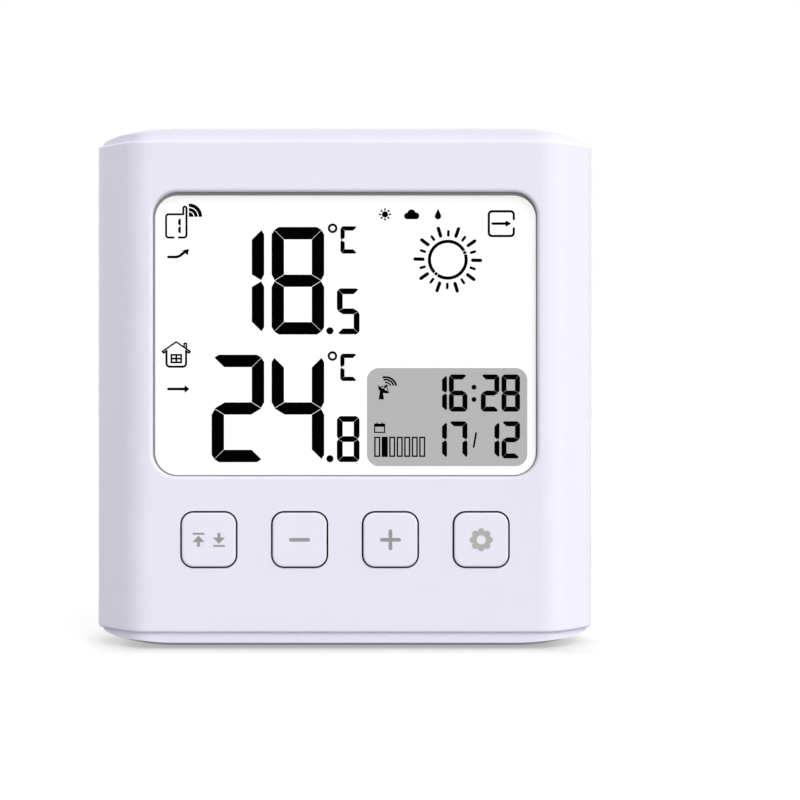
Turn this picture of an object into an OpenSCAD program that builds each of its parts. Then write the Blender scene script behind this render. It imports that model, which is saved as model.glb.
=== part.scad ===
// Desk and wall thermometer with a large display, four keys and two small cells.
// The front faces -Y, the thermometer stands on z = 0, and x = 0 is its middle.

/* [Front face] */
// Width of the display window
window_w = 79.7; // [70:0.1:90]
// Height of the display window
window_h = 59; // [50:0.1:70]
// Corner radius of the display window
window_r = 5; // [3:0.1:8]
// Rounding of the window's front edge
window_edge_r = 0.7; // [0.3:0.1:0.8]
// Depth of the step between the front face and the lens
window_step = 1; // [0.6:0.1:1.4]
// Height of the plain band above the window
brow_h = 10.6; // [9:0.05:16]
// Distance from the middle of the keys up to the window
key_to_window = 13.1; // [12:0.1:18]
// Distance from the lower edge of the front cover up to the middle of the keys
key_floor = 19.3; // [16:0.05:26]

/* [Casing] */
// Wall thickness of both covers
wall = 2.1; // [1.6:0.1:2.6]
// Gap between the display frame and a screw post
post_gap = 0.7; // [0.5:0.05:1]
// Clear width between a screw post and the side wall
side_room = 4.35; // [4:0.05:8]
// Width of the slanted shoulder, seen from the front
shoulder_w = 8.4; // [7:0.1:10]
// Depth of the slanted shoulder, seen from the side
shoulder_d = 11.2; // [8:0.1:12]
// Radius between the front face and the shoulder
shoulder_front_r = 6.9; // [4:0.1:7]
// Radius between the shoulder and the side
shoulder_side_r = 7.5; // [3.5:0.1:9]
// Radius of the upright rear corners
rear_r = 4.5; // [3.5:0.1:6]
// Rounding of the covers' upper and lower edges
edge_r = 0.6; // [0.45:0.15:1.05]
// Length of side wall that the rear cover holds
rear_side_l = 8; // [6:0.1:10]
// Gap between the covers along the sides
seam = 0.15; // [0.05:0.05:0.3]

/* [End caps] */
// Height of each end cap beyond the covers' edges
cap_h = 3.5; // [3.3:0.05:4]
// How far the end caps stand back from the covers
cap_inset = 1.05; // [1:0.05:1.5]
// Radius of the crown on the end caps
crown_r = 41; // [38:0.5:60]
// Distance of the crown's flat from the front face
crown_front = 11.5; // [9:0.1:12]
// Distance of the crown's flat from the sides
crown_side = 16.5; // [13:0.1:17]
// Distance of the crown's flat from the rear face
crown_rear = 6; // [4:0.1:8]
// Ceiling left over the pocket inside each end cap
cap_ceiling = 2; // [1.5:0.1:2.5]
// Length of the locating tab under each end cap
tab_l = 50; // [30:1:56]
// Depth of the locating tab
tab_h = 2.5; // [1.5:0.1:3]

/* [Display] */
// How far the lens reaches past the window
lens_lip = 1.6; // [1.2:0.1:2]
// Thickness of the lens
lens_t = 1.5; // [1.2:0.1:2]
// Thickness of the adhesive ring in front of the lens
tape_t = 0.15; // [0.1:0.05:0.25]
// Air gap behind the lens
lens_gap = 0.35; // [0.2:0.05:0.8]
// How far the display glass reaches past the window
glass_margin = 1.3; // [1:0.1:1.6]
// Thickness of one display glass
glass_t = 0.7; // [0.5:0.05:1.1]
// Thickness of the polariser and of the reflector film
film_t = 0.2; // [0.1:0.05:0.3]
// How far the films stand back from the glass edge
film_inset = 0.7; // [0.4:0.1:1]
// Height of the contact ledge on the front glass
ledge_h = 4; // [3.5:0.1:5]
// Wall of the frame round the glass
frame_wall = 1.2; // [1:0.1:1.6]
// Thickness of the frame's shelf behind the glass
shelf_t = 1.2; // [0.8:0.1:1.6]
// How far the frame's shelf reaches under the glass
shelf_w = 3; // [2.4:0.1:3.6]
// Length of the conductive rubber strip from glass to board
zebra_h = 5; // [4.5:0.1:6]
// Thickness of the conductive rubber strip
zebra_t = 2.4; // [2:0.1:2.6]

/* [Keys] */
// Width and height of a key
key_size = 11.2; // [10:0.1:12.6]
// Corner radius of a key
key_r = 2.4; // [2:0.1:3.5]
// Distance between neighbouring keys' middles
key_pitch = 18.8; // [18:0.05:20]
// How far the keys stand proud of the front face
key_proud = 0.4; // [0.2:0.05:0.6]
// Rounding of a key's front edge
key_edge_r = 0.4; // [0.2:0.05:0.6]
// Gap round a key
key_gap = 0.35; // [0.2:0.05:0.4]
// How far a key's flange reaches past the key
key_flange = 1.2; // [0.9:0.1:1.6]
// Thickness of a key's flange
flange_t = 1; // [0.8:0.1:1.4]
// Length of the stem behind a key's flange
stem_l = 0.8; // [0.6:0.1:1.6]
// Radius of a key's stem
stem_r = 2; // [1.8:0.1:2.8]
// How far a key travels
key_travel = 0.5; // [0.3:0.05:0.6]
// Width and height of a switch
switch_size = 6; // [5:0.1:7]
// Radius of a switch's plunger
plunger_r = 1.6; // [1.2:0.1:1.7]
// How far a plunger stands out of its switch
plunger_h = 0.9; // [0.8:0.1:1.4]
// Length of a plunger inside its switch
plunger_tail = 0.6; // [0.4:0.1:0.8]

/* [Board] */
// Thickness of the main board
board_t = 1.2; // [1:0.1:1.6]
// How far the main board stands back from the display frame's side
board_inset = 1.9; // [1.5:0.1:3]
// Distance from the covers' lower edge to the main board
board_floor = 4.15; // [3:0.05:5]
// Clear height between the main board and the battery bay
board_room = 1.9; // [1.6:0.1:4]
// Radius of the posts that carry the main board
board_post_r = 2; // [1.8:0.1:2.4]
// Board left beside a post
board_post_side = 2; // [1.5:0.1:3]
// Board left under the lower posts
board_post_under = 1.25; // [1:0.05:2]
// Gap between the upper posts and the display frame
board_post_gap = 0.4; // [0.3:0.05:0.8]

/* [Battery bay] */
// Diameter of a cell
cell_d = 10.5; // [10:0.1:14.5]
// Length of a cell with its button
cell_l = 44.5; // [40:0.1:50]
// Radius of a cell's button
button_r = 1.9; // [1.5:0.1:2.4]
// Height of a cell's button
button_h = 0.9; // [0.7:0.1:1.2]
// Gap between the two cells
cell_gap = 0.5; // [0.3:0.1:1]
// Play between a cell, the door and the bay
cell_play = 0.2; // [0.1:0.05:0.4]
// Length of a battery spring under load
spring_l = 5.1; // [4.6:0.1:6]
// Radius of a battery spring at the contact plate
spring_base_r = 3.4; // [3:0.1:4]
// Radius of a battery spring at the cell
spring_tip_r = 2.4; // [2:0.1:2.8]
// Radius of the spring wire
spring_wire_r = 0.28; // [0.2:0.02:0.3]
// Number of curls in a battery spring
spring_curls = 4; // [3:1:4]
// Thickness of a contact plate
plate_t = 0.4; // [0.3:0.05:0.6]
// Width of a contact plate
plate_w = 8.6; // [7:0.1:9]
// Width of a contact plate's solder tail
tail_w = 2.4; // [2:0.1:3]
// Floor of the battery bay
bay_floor = 1.1; // [1:0.1:1.8]
// Ledge that the battery door lies on
door_ledge = 1.8; // [1.4:0.1:2.6]
// Thickness of the battery door
door_t = 2; // [1.6:0.1:2.4]
// Radius of the battery door's hinge edge
door_hinge_r = 1.5; // [1.4:0.1:1.8]
// Radius of the battery door's hinge pins
door_pin_r = 0.8; // [0.6:0.05:0.9]
// Length of the battery door's hinge pins
door_pin_l = 2; // [1.5:0.1:2.5]
// Width of the latch tongue on the battery door
latch_w = 14; // [10:0.1:20]
// Length of the latch tongue
latch_l = 7; // [5:0.1:9]
// Width of the slits beside the latch tongue
latch_slit = 0.8; // [0.6:0.1:1.2]
// Radius of the grip grooves on the latch and the stand leg
grip_r = 0.6; // [0.4:0.1:0.8]
// Distance between the grip grooves
grip_pitch = 1.8; // [1.6:0.1:2.2]
// Wall round the battery bay
bay_wall = 1; // [0.8:0.1:1.4]

/* [Stand] */
// Width of the stand leg
leg_w = 40; // [30:0.5:44]
// Thickness of the stand leg
leg_t = 3; // [2.6:0.1:3.4]
// Radius of the stand leg's hinge edge
leg_hinge_r = 1.75; // [1.6:0.05:2.2]
// Radius of the stand leg's hinge pins
leg_pin_r = 1; // [0.8:0.05:1.1]
// Length of the stand leg's hinge pins
leg_pin_l = 2.2; // [1.8:0.1:3]
// Corner radius at the stand leg's tip
leg_tip_r = 4; // [2:0.1:6]
// Rim round the hollow in the stand leg
leg_rim = 4; // [3:0.1:6]
// Thickness of the ribs in the stand leg's hollow
leg_rib_t = 1.2; // [1:0.1:2]
// Gap between the stand leg's tip and the lower end cap
leg_tip_gap = 0.8; // [0.5:0.1:1.5]
// Height of the wall strip between the stand and the battery door
stand_strip = 5.5; // [5:0.1:8]
// Floor behind the stand leg
stand_floor = 1.5; // [1.2:0.1:2]

/* [Wall hanger] */
// Radius of the hanger's round hole
hanger_r = 4; // [3.5:0.1:4.5]
// Radius of the hanger's slot
hanger_slot_r = 2; // [1.6:0.1:2.2]
// Distance from the round hole's middle up to the slot's end
hanger_rise = 3.8; // [3:0.1:5]
// Wall left above the hanger's slot
hanger_top = 2.1; // [2:0.05:4]
// Wall left under the hanger's round hole
hanger_strip = 1.8; // [1.5:0.1:3]

/* [Fasteners] */
// Radius of the casing's screw posts
post_r = 2.8; // [2.5:0.1:3.2]
// Distance from the covers' edges to the casing screws
post_inset = 7.9; // [7.5:0.05:11]
// Depth of a casing screw's head below the rear face
screw_sink = 5; // [4:0.1:6]
// Radius of a casing screw's head
screw_head_r = 2.2; // [2:0.1:2.4]
// Height of a screw head
screw_head_h = 1.4; // [1.2:0.1:1.8]
// Radius of a screw's shank
screw_r = 1.1; // [0.9:0.05:1.2]
// Length of a casing screw's shank
screw_l = 9; // [7:0.5:10]
// Length of a board screw's shank
board_screw_l = 5; // [4:0.1:5.5]
// Width of a slot in the screws' cross recess
recess_w = 0.8; // [0.6:0.1:1]
// Depth of the screws' cross recess
recess_d = 0.8; // [0.5:0.1:1]

/* [Inner parts] */
// Radius of the ferrite rod
rod_r = 4; // [3:0.1:4.5]
// Length of the ferrite rod
rod_l = 48; // [40:0.5:60]
// Distance from the ferrite rod's ends to its cradles
cradle_inset = 6; // [4:0.5:10]
// Thickness of the winding on the ferrite rod
coil_t = 1.1; // [0.8:0.1:1.5]
// Length of the winding on the ferrite rod
coil_l = 16; // [10:0.5:22]
// Gap between the winding and the rear wall
rod_gap = 1.2; // [0.8:0.1:2]
// Width of the receiver board
receiver_w = 11; // [9:0.1:14]
// Height of the receiver board
receiver_h = 24; // [20:0.5:28]
// Thickness of the receiver board
receiver_t = 1; // [0.8:0.1:1.2]
// Height of the pin strip under the receiver board
header_h = 2.5; // [2:0.1:3.5]
// Radius of the aerial's turns
aerial_r = 2.2; // [1.8:0.1:3]
// Radius of the aerial's wire
aerial_wire_r = 0.3; // [0.25:0.02:0.4]
// Distance between the aerial's turns
aerial_pitch = 1.6; // [1.4:0.05:2]
// Number of turns in the aerial
aerial_turns = 9; // [6:1:12]
// Length of the clock crystal's can
crystal_l = 8; // [6:0.1:9]
// Length of the capacitor
capacitor_l = 6; // [4:0.1:6.4]
// Radius of the air temperature sensor
sensor_r = 1.3; // [1:0.1:1.6]
// Width of one air slot
vent_w = 1.4; // [1.2:0.1:1.8]
// Height of the air slots
vent_h = 12; // [9:0.5:14]
// Number of air slots
vent_count = 5; // [3:1:5]

/* [Clearances] */
// Gap round pieces that are laid in a pocket
fit_gap = 0.2; // [0.1:0.05:0.3]
// Radial running clearance of the hinge pins
pin_gap = 0.05; // [0.03:0.01:0.08]
// Gap round pieces that swing
swing_gap = 0.3; // [0.25:0.05:0.4]
// Gap between a screw and its hole in a post
pilot_gap = 0.03; // [0.02:0.01:0.05]
// Gap round a screw's shank in a clearance hole
screw_gap = 0.3; // [0.2:0.05:0.4]

/* [Hidden] */
$fn = 64;
cut = 0.5;
casing_white = [0.91, 0.90, 0.95];
key_x = [for (i = [0 : 3]) (i - 1.5) * key_pitch];

// Half widths, from the window out to the side of the casing
lens_hw = window_w / 2 + lens_lip;
glass_hw = window_w / 2 + glass_margin;
frame_hw = glass_hw + fit_gap + frame_wall;
post_x = frame_hw + post_gap + post_r;
body_hw = post_x + side_room + wall;

// Heights, from the standing surface up
belt_z0 = cap_h;
key_z = belt_z0 + key_floor;
window_z0 = key_z + key_to_window;
window_z = window_z0 + window_h / 2;
belt_z1 = window_z0 + window_h + brow_h;
body_h = belt_z1 + cap_h;
mid_z = body_h / 2;
lens_hh = window_h / 2 + lens_lip;
glass_hh = window_h / 2 + glass_margin;
frame_hh = glass_hh + fit_gap + frame_wall;

// Depths behind the front face, and the y of the front face
lens_d = window_step + tape_t;
film_d = lens_d + lens_t + lens_gap;
front_glass_d = film_d + film_t;
rear_glass_d = front_glass_d + glass_t;
reflector_d = rear_glass_d + glass_t;
shelf_d = reflector_d + film_t;
board_d = rear_glass_d + zebra_h;
board_rear_d = board_d + board_t;
bay_d = board_rear_d + board_room + bay_floor;
body_t = bay_d + cell_d + 2 * cell_play + door_t;
front_y = key_proud - (body_t + key_proud) / 2;
rear_y = front_y + body_t;
rear_wall_y = rear_y - wall;
part_y = rear_y - rear_side_l;

// Keys and switches
flange_d = wall + fit_gap;
plunger_d = flange_d + flange_t + stem_l;
switch_d = plunger_d + plunger_h;

// Main board and its posts
board_hw = frame_hw - board_inset;
board_z0 = belt_z0 + board_floor;
board_post_x = board_hw - board_post_r - board_post_side;
board_post_low = board_z0 + board_post_r + board_post_under;
board_post_high = window_z + frame_hh + board_post_gap + board_post_r;
board_z1 = board_post_high + board_post_r;

// Rear face, from the hanger down to the stand
hanger_slot_z = belt_z1 - hanger_top - hanger_slot_r;
hanger_z = hanger_slot_z - hanger_rise;
door_top = hanger_z - hanger_r - hanger_strip;
door_axis_z = door_top - swing_gap - door_hinge_r;
door_axis_y = rear_y - door_hinge_r;
bay_top = door_axis_z - door_hinge_r / 2;
cell_pitch = cell_d + cell_gap;
bay_h = cell_pitch + cell_d + 2 * cell_play;
bay_bottom = bay_top - bay_h;
bay_z = bay_top - bay_h / 2;
bay_hw = (cell_l + spring_l + 2 * plate_t + button_h) / 2;
door_hw = bay_hw + door_ledge;
door_bottom = bay_bottom - door_ledge + swing_gap;
door_open_hw = door_hw + swing_gap;
door_open_z = door_bottom - swing_gap;
bay_side = door_open_hw + bay_wall;
bay_y = front_y + bay_d;
cell_y = bay_y + cell_play + cell_d / 2;
stand_top = door_open_z - stand_strip;
leg_axis_z = stand_top - swing_gap - leg_hinge_r;
leg_axis_y = rear_y - leg_hinge_r;
leg_tip_z = belt_z0 + leg_tip_gap;
stand_hw = leg_w / 2 + swing_gap;
stand_y = rear_y - max(leg_t, 2 * leg_hinge_r) - swing_gap;

// Casing screws
post_z = [belt_z0 + post_inset, belt_z1 - post_inset];
post_seat_y = rear_y - screw_sink - wall;
screw_seat_y = rear_y - screw_sink;
pilot_r = screw_r + pilot_gap;

// Pieces in the space beside the battery bay
rod_x = bay_side + rod_gap + rod_r + coil_t;
rod_y = rear_wall_y - rod_gap - rod_r - coil_t;
receiver_x = -rod_x;
receiver_y = front_y + board_rear_d + header_h;
receiver_z = mid_z - receiver_h / 2;
receiver_top = receiver_z + receiver_h / 2;
sensor_x = -(stand_hw + board_hw) / 2;
sensor_z = post_z[0] + post_r;

// Quarter of a disc in the first quadrant
module quarter(r) {
    intersection() {
        circle(r);
        square(r);
    }
}

// Half of a disc above the x axis
module half_disc(r) {
    intersection() {
        circle(r);
        translate([-r, 0]) square([2 * r, r]);
    }
}

// Rectangle with round corners
module round_rect(w, h, r) {
    square([w - 2 * r, h], center = true);
    square([w, h - 2 * r], center = true);
    for (x = [-1, 1], y = [-1, 1]) translate([x * (w / 2 - r), y * (h / 2 - r)]) circle(r);
}

// Upright plate that faces the front, from depth d0 to d1, centred on x and z
module front_plate(d0, d1, x, z) {
    translate([x, front_y + d1, z]) rotate([90, 0, 0]) linear_extrude(d1 - d0) children();
}

// Box from its lowest to its highest corner
module block(a, b) {
    translate(a) cube(b - a);
}

// Rod along Y from y0 to y1
module rod_y_way(x, z, y0, y1, r) {
    translate([x, y1, z]) rotate([90, 0, 0]) cylinder(r = r, h = y1 - y0);
}

// Rod along X, centred on x
module rod_x_way(x, y, z, l, r) {
    translate([x - l / 2, y, z]) rotate([0, 90, 0]) cylinder(r = r, h = l);
}

// Profile along X: the children's x and y become y and z
module along_x(half) {
    translate([-half, 0, 0]) rotate([90, 0, 90]) linear_extrude(2 * half) children();
}

// Points where the casing's outline, set in by i, bends on the right-hand side
slant_l = norm([shoulder_w, shoulder_d]);
slant_way = [shoulder_w, shoulder_d] / slant_l;
slant_angle = atan2(shoulder_d, shoulder_w);
front_rate = (slant_l - shoulder_w) / shoulder_d;
side_rate = (slant_l - shoulder_d) / shoulder_w;
function slant_x(i) = body_hw - shoulder_w - i * front_rate;
function slant_y(i) = front_y + shoulder_d + i * side_rate;
function front_bend(i) = (shoulder_front_r - i) * front_rate;
function side_bend(i) = (shoulder_side_r - i) * side_rate;
function front_end(i) = [slant_x(i) - front_bend(i), front_y + i];
function slant_start(i) = [slant_x(i), front_y + i] + front_bend(i) * slant_way;
function slant_end(i) = [body_hw - i, slant_y(i)] - side_bend(i) * slant_way;
function side_start(i) = [body_hw - i, slant_y(i) + side_bend(i)];
function mirrored(p) = [-p[0], p[1]];

// Front part of the casing's outline, set in by i, up to y = end
module front_outline(i, end) {
    right = [front_end(i), slant_start(i), slant_end(i), side_start(i), [body_hw - i, end]];
    polygon(concat(right, [for (k = [4 : -1 : 0]) mirrored(right[k])]));
    for (s = [-1, 1]) {
        translate([s * front_end(i)[0], front_y + shoulder_front_r]) circle(shoulder_front_r - i);
        translate([s * (body_hw - shoulder_side_r), side_start(i)[1]]) rotate(180)
            half_disc(shoulder_side_r - i);
    }
}

// Rear part of the casing's outline, set in by i, from y = start
module rear_outline(i, start) {
    half = body_hw - i;
    bend_y = rear_y - rear_r;
    polygon([[-half, start], [half, start], [half, bend_y], [body_hw - rear_r, rear_y - i],
        [rear_r - body_hw, rear_y - i], [-half, bend_y]]);
    for (s = [-1, 1]) translate([s * (body_hw - rear_r), bend_y]) half_disc(rear_r - i);
}

// Straight stretch of a swept edge from p to q, with the children's x pointing out to the right
module edge_line(p, q) {
    way = (q - p) / norm(q - p);
    multmatrix([[way[1], 0, -way[0], q[0]], [-way[0], 0, -way[1], q[1]], [0, 1, 0, 0], [0, 0, 0, 1]])
        linear_extrude(norm(q - p)) children();
}

// Bend of a swept edge round centre c
module edge_arc(c, r, from, to) {
    translate(c) rotate(from) rotate_extrude(angle = to - from) translate([r, 0]) children();
}

// Rounded edge profile: the quarter disc and a strip that sinks into the piece behind it
module edge_profile(r) {
    quarter(r);
    translate([-r / 2, 0]) square([r / 2, r]);
}

// Rounded edge round the front cover, at z = 0 and rising
module front_edge(r) {
    i = r;
    edge_line(mirrored(front_end(i)), front_end(i)) edge_profile(r);
    for (m = [0, 1]) mirror([m, 0, 0]) {
        edge_arc([front_end(i)[0], front_y + shoulder_front_r], shoulder_front_r - i, 270, 270 + slant_angle)
            edge_profile(r);
        edge_line(slant_start(i), slant_end(i)) edge_profile(r);
        edge_arc([body_hw - shoulder_side_r, side_start(i)[1]], shoulder_side_r - i, 270 + slant_angle, 360)
            edge_profile(r);
        edge_line(side_start(i), [body_hw - i, part_y - seam]) edge_profile(r);
    }
}

// Rounded edge round the rear cover, at z = 0 and rising
module rear_edge(r) {
    i = r;
    bend = [body_hw - rear_r, rear_y - rear_r];
    edge_line([bend[0], rear_y - i], [-bend[0], rear_y - i]) edge_profile(r);
    for (m = [0, 1]) mirror([m, 0, 0]) {
        edge_line([body_hw - i, part_y], [body_hw - i, bend[1]]) edge_profile(r);
        edge_arc(bend, rear_r - i, 0, 90) edge_profile(r);
    }
}

// Copies the children to the top and, turned over, to the bottom of the casing
module both_ends() {
    children();
    translate([0, 0, body_h]) mirror([0, 0, 1]) children();
}

// Wall of the front cover, open at the top, the bottom and the rear
module front_shell() {
    h = belt_z1 - belt_z0;
    end_y = part_y - seam;
    difference() {
        union() {
            translate([0, 0, belt_z0]) linear_extrude(h) front_outline(edge_r, end_y);
            translate([0, 0, belt_z0 + edge_r]) linear_extrude(h - 2 * edge_r) front_outline(0, end_y);
            both_ends() translate([0, 0, belt_z1 - edge_r]) front_edge(edge_r);
        }
        translate([0, 0, belt_z0 - cut]) linear_extrude(h + 2 * cut) front_outline(wall, part_y + cut);
    }
}

// Wall of the rear cover between the end caps
module rear_shell() {
    h = belt_z1 - belt_z0;
    difference() {
        union() {
            translate([0, 0, belt_z0]) linear_extrude(h) rear_outline(edge_r, part_y);
            translate([0, 0, belt_z0 + edge_r]) linear_extrude(h - 2 * edge_r) rear_outline(0, part_y);
            both_ends() translate([0, 0, belt_z1 - edge_r]) rear_edge(edge_r);
        }
        translate([0, 0, belt_z0 - cut]) linear_extrude(h + 2 * cut) rear_outline(wall, part_y - cut);
    }
}

// Space under the crown of the upper end cap: cylinders at the front, rear and sides, spheres at the corners
module crown_space() {
    half = body_hw - crown_side;
    y0 = front_y + crown_front;
    y1 = rear_y - crown_rear;
    centre_z = body_h - crown_r;
    along_x(half) {
        translate([y0, belt_z1]) square([y1 - y0, cap_h]);
        intersection() {
            union() for (y = [y0, y1]) translate([y, centre_z]) circle(crown_r);
            union() {
                translate([front_y, belt_z1]) square([crown_front, cap_h]);
                translate([y1, belt_z1]) square([crown_rear, cap_h]);
            }
        }
    }
    for (m = [0, 1]) mirror([m, 0, 0]) {
        translate([0, y1, 0]) rotate([90, 0, 0]) linear_extrude(y1 - y0) intersection() {
            translate([half, centre_z]) circle(crown_r);
            translate([half, belt_z1]) square([crown_side, cap_h]);
        }
        intersection() {
            translate([half, y0, centre_z]) rotate([90, 0, 0]) sphere(crown_r);
            block([half, front_y, belt_z1], [body_hw, y0, body_h]);
        }
        intersection() {
            translate([half, y1, centre_z]) rotate([90, 0, 0]) sphere(crown_r);
            block([half, y1, belt_z1], [body_hw, rear_y, body_h]);
        }
    }
}

// Upper end cap with the pocket under it and its locating tab
module end_cap() {
    pocket_hw = body_hw - crown_side;
    tab_y = front_y + wall + fit_gap;
    difference() {
        intersection() {
            translate([0, 0, belt_z1]) linear_extrude(cap_h) {
                front_outline(cap_inset, mid_cap_y());
                rear_outline(cap_inset, mid_cap_y());
            }
            crown_space();
        }
        block([-pocket_hw, front_y + 2 * wall, belt_z1 - cut],
            [pocket_hw, rear_y - 2 * wall, body_h - cap_ceiling]);
    }
    block([-tab_l / 2, tab_y, belt_z1 - tab_h], [tab_l / 2, tab_y + wall, belt_z1 + cap_h / 2]);
}

function mid_cap_y() = (side_start(cap_inset)[1] + rear_y - rear_r) / 2;

// Post of the front cover that takes a casing screw, rooted in the slanted shoulder
module screw_post(x, z) {
    intersection() {
        rod_y_way(x, z, front_y, post_seat_y, post_r);
        translate([0, 0, z - post_r - cut]) linear_extrude(2 * (post_r + cut))
            front_outline(wall / 2, post_seat_y);
    }
}

// Rounded lip round the display window, flush with the front face
module window_lip() {
    e = window_edge_r;
    straight_x = window_w / 2 - window_r;
    straight_z = window_h / 2 - window_r;
    side_x = window_w / 2 + e;
    side_z = window_h / 2 + e;
    translate([0, front_y + e, window_z]) rotate([90, 0, 0]) for (m = [0, 1]) {
        mirror([m, 0, 0]) edge_line([side_x, straight_z], [side_x, -straight_z]) edge_profile(e);
        mirror([0, m, 0]) edge_line([-straight_x, side_z], [straight_x, side_z]) edge_profile(e);
        for (n = [0, 1]) mirror([m, 0, 0]) mirror([0, n, 0])
            edge_arc([straight_x, straight_z], window_r + e, 0, 90) mirror([1, 0]) edge_profile(e);
    }
}

module front_cover() {
    color(casing_white) {
        front_body();
        window_lip();
    }
}

// Front cover with its openings, posts and screw holes, without the window's lip
module front_body() {
    lip = 2 * window_edge_r;
    difference() {
        union() {
            front_shell();
            for (x = [-1, 1], z = post_z) screw_post(x * post_x, z);
            for (x = [-1, 1], z = [board_post_low, board_post_high])
                rod_y_way(x * board_post_x, z, front_y + wall / 2, front_y + board_d, board_post_r);
        }
        front_plate(-cut, wall + cut, 0, window_z) round_rect(window_w, window_h, window_r);
        front_plate(-cut, window_edge_r, 0, window_z)
            round_rect(window_w + lip, window_h + lip, window_r + window_edge_r);
        front_plate(window_step, wall + cut, 0, window_z)
            round_rect(2 * (lens_hw + fit_gap), 2 * (lens_hh + fit_gap), window_r + lens_lip);
        for (x = key_x) front_plate(-cut, wall + cut, x, key_z)
            round_rect(key_size + 2 * key_gap, key_size + 2 * key_gap, key_r + key_gap);
        for (x = [-1, 1], z = post_z)
            rod_y_way(x * post_x, z, screw_seat_y - screw_l - cut, post_seat_y + cut, pilot_r);
        for (x = [-1, 1], z = [board_post_low, board_post_high])
            rod_y_way(x * board_post_x, z, front_y + board_rear_d - board_screw_l - cut / 2,
                front_y + board_d + cut, pilot_r);
    }
}

// Solid stretches that the rear cover's bay, stand recess, posts and cradles are cut from
module rear_blocks() {
    floor_y = bay_y - bay_floor;
    bearing_z = door_hinge_r + bay_wall;
    leg_bearing_z = leg_hinge_r + 1.2;
    leg_bearing_x = stand_hw + leg_pin_l + 1;
    block([-bay_side, floor_y, door_open_z - bay_wall],
        [bay_side, rear_wall_y + wall / 2, door_top + bay_wall]);
    block([-bay_side - door_pin_l, door_axis_y - bearing_z, door_axis_z - bearing_z],
        [bay_side + door_pin_l, rear_wall_y + wall / 2, door_axis_z + bearing_z]);
    block([-stand_hw - stand_floor, stand_y - stand_floor, belt_z0],
        [stand_hw + stand_floor, rear_wall_y + wall / 2, stand_top + stand_floor]);
    block([-leg_bearing_x, leg_axis_y - leg_bearing_z, leg_axis_z - leg_bearing_z],
        [leg_bearing_x, rear_wall_y + wall / 2, leg_axis_z + leg_bearing_z]);
    for (x = [-1, 1], z = post_z)
        rod_y_way(x * post_x, z, post_seat_y, rear_wall_y + wall / 2, screw_head_r + fit_gap + 1);
    for (s = [-1, 1]) rod_cradle(mid_z + s * (rod_l / 2 - cradle_inset));
}

// Saddle that holds the ferrite rod on the rear wall
module rod_cradle(z) {
    hw = rod_r + 1.5;
    block([rod_x - hw, rod_y, z - 1.5], [rod_x + hw, rear_wall_y + wall / 2, z + 1.5]);
}

// Hollow of the battery bay, with the door opening and the hinge edge's trough
module bay_hollow() {
    ledge_y = rear_y - door_t - cell_play / 2;
    trough_r = door_hinge_r + swing_gap;
    block([-bay_hw, bay_y, bay_bottom], [bay_hw, rear_y, bay_top]);
    block([-door_open_hw, ledge_y, door_open_z], [door_open_hw, rear_y + cut, door_top]);
    block([-door_open_hw, door_axis_y - trough_r, door_axis_z - trough_r],
        [door_open_hw, rear_y + cut, door_top]);
    rod_x_way(0, door_axis_y, door_axis_z, 2 * (door_hw + door_pin_l + fit_gap), door_pin_r + pin_gap);
}

// Hollow for the folded stand leg and its pins
module stand_hollow() {
    block([-stand_hw, stand_y, belt_z0], [stand_hw, rear_y + cut, stand_top]);
    rod_x_way(0, leg_axis_y, leg_axis_z, leg_w + 2 * (leg_pin_l + fit_gap), leg_pin_r + pin_gap);
}

// Keyhole for a nail or screw in a wall
module hanger_hole() {
    y0 = rear_wall_y - cut;
    y1 = rear_y + cut;
    rod_y_way(0, hanger_z, y0, y1, hanger_r);
    rod_y_way(0, hanger_slot_z, y0, y1, hanger_slot_r);
    block([-hanger_slot_r, y0, hanger_z], [hanger_slot_r, y1, hanger_slot_z]);
}

// Hollow thumb rest under the battery door's latch
module thumb_rest() {
    rest_r = 9;
    intersection() {
        translate([0, rear_y + rest_r - wall / 2, door_open_z]) sphere(rest_r);
        block([-body_hw, rear_wall_y, stand_top], [body_hw, rear_y + cut, door_open_z + cut]);
    }
}

module rear_cover() {
    vent_step = 2 * vent_w;
    color(casing_white) difference() {
        union() {
            rear_shell();
            both_ends() end_cap();
            rear_blocks();
        }
        bay_hollow();
        stand_hollow();
        hanger_hole();
        thumb_rest();
        rod_x_cut();
        for (x = [-1, 1], z = post_z) {
            rod_y_way(x * post_x, z, screw_seat_y, rear_y + cut, screw_head_r + fit_gap);
            rod_y_way(x * post_x, z, post_seat_y - cut, screw_seat_y + cut, screw_r + screw_gap);
        }
        for (k = [0 : vent_count - 1])
            translate([sensor_x + (k - (vent_count - 1) / 2) * vent_step, rear_y + cut, sensor_z])
                rotate([90, 0, 0]) linear_extrude(wall + 2 * cut) round_rect(vent_w, vent_h, vent_w / 2.2);
        for (s = [-1, 1]) tail_slot(s);
    }
}

// Groove in the cradles for the ferrite rod
module rod_x_cut() {
    translate([rod_x, rod_y, mid_z - rod_l / 2]) cylinder(r = rod_r + pin_gap, h = rod_l);
}

// Slot in the bay's floor for a contact plate's solder tail
module tail_slot(s) {
    z = bay_z + s * cell_pitch / 2;
    block([-bay_hw, bay_y - bay_floor - cut, z - tail_w / 2 - fit_gap],
        [plate_t + fit_gap - bay_hw, bay_y + cut, z + tail_w / 2 + fit_gap]);
}

module display_lens() {
    color([0.85, 0.9, 0.92, 0.4]) front_plate(lens_d, lens_d + lens_t, 0, window_z)
        round_rect(2 * lens_hw, 2 * lens_hh, window_r + lens_lip - fit_gap);
}

module lens_tape() {
    color("dimgray") front_plate(window_step, lens_d, 0, window_z) difference() {
        round_rect(2 * lens_hw, 2 * lens_hh, window_r + lens_lip - fit_gap);
        round_rect(window_w + 2 * fit_gap, window_h + 2 * fit_gap, window_r + fit_gap);
    }
}

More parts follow.
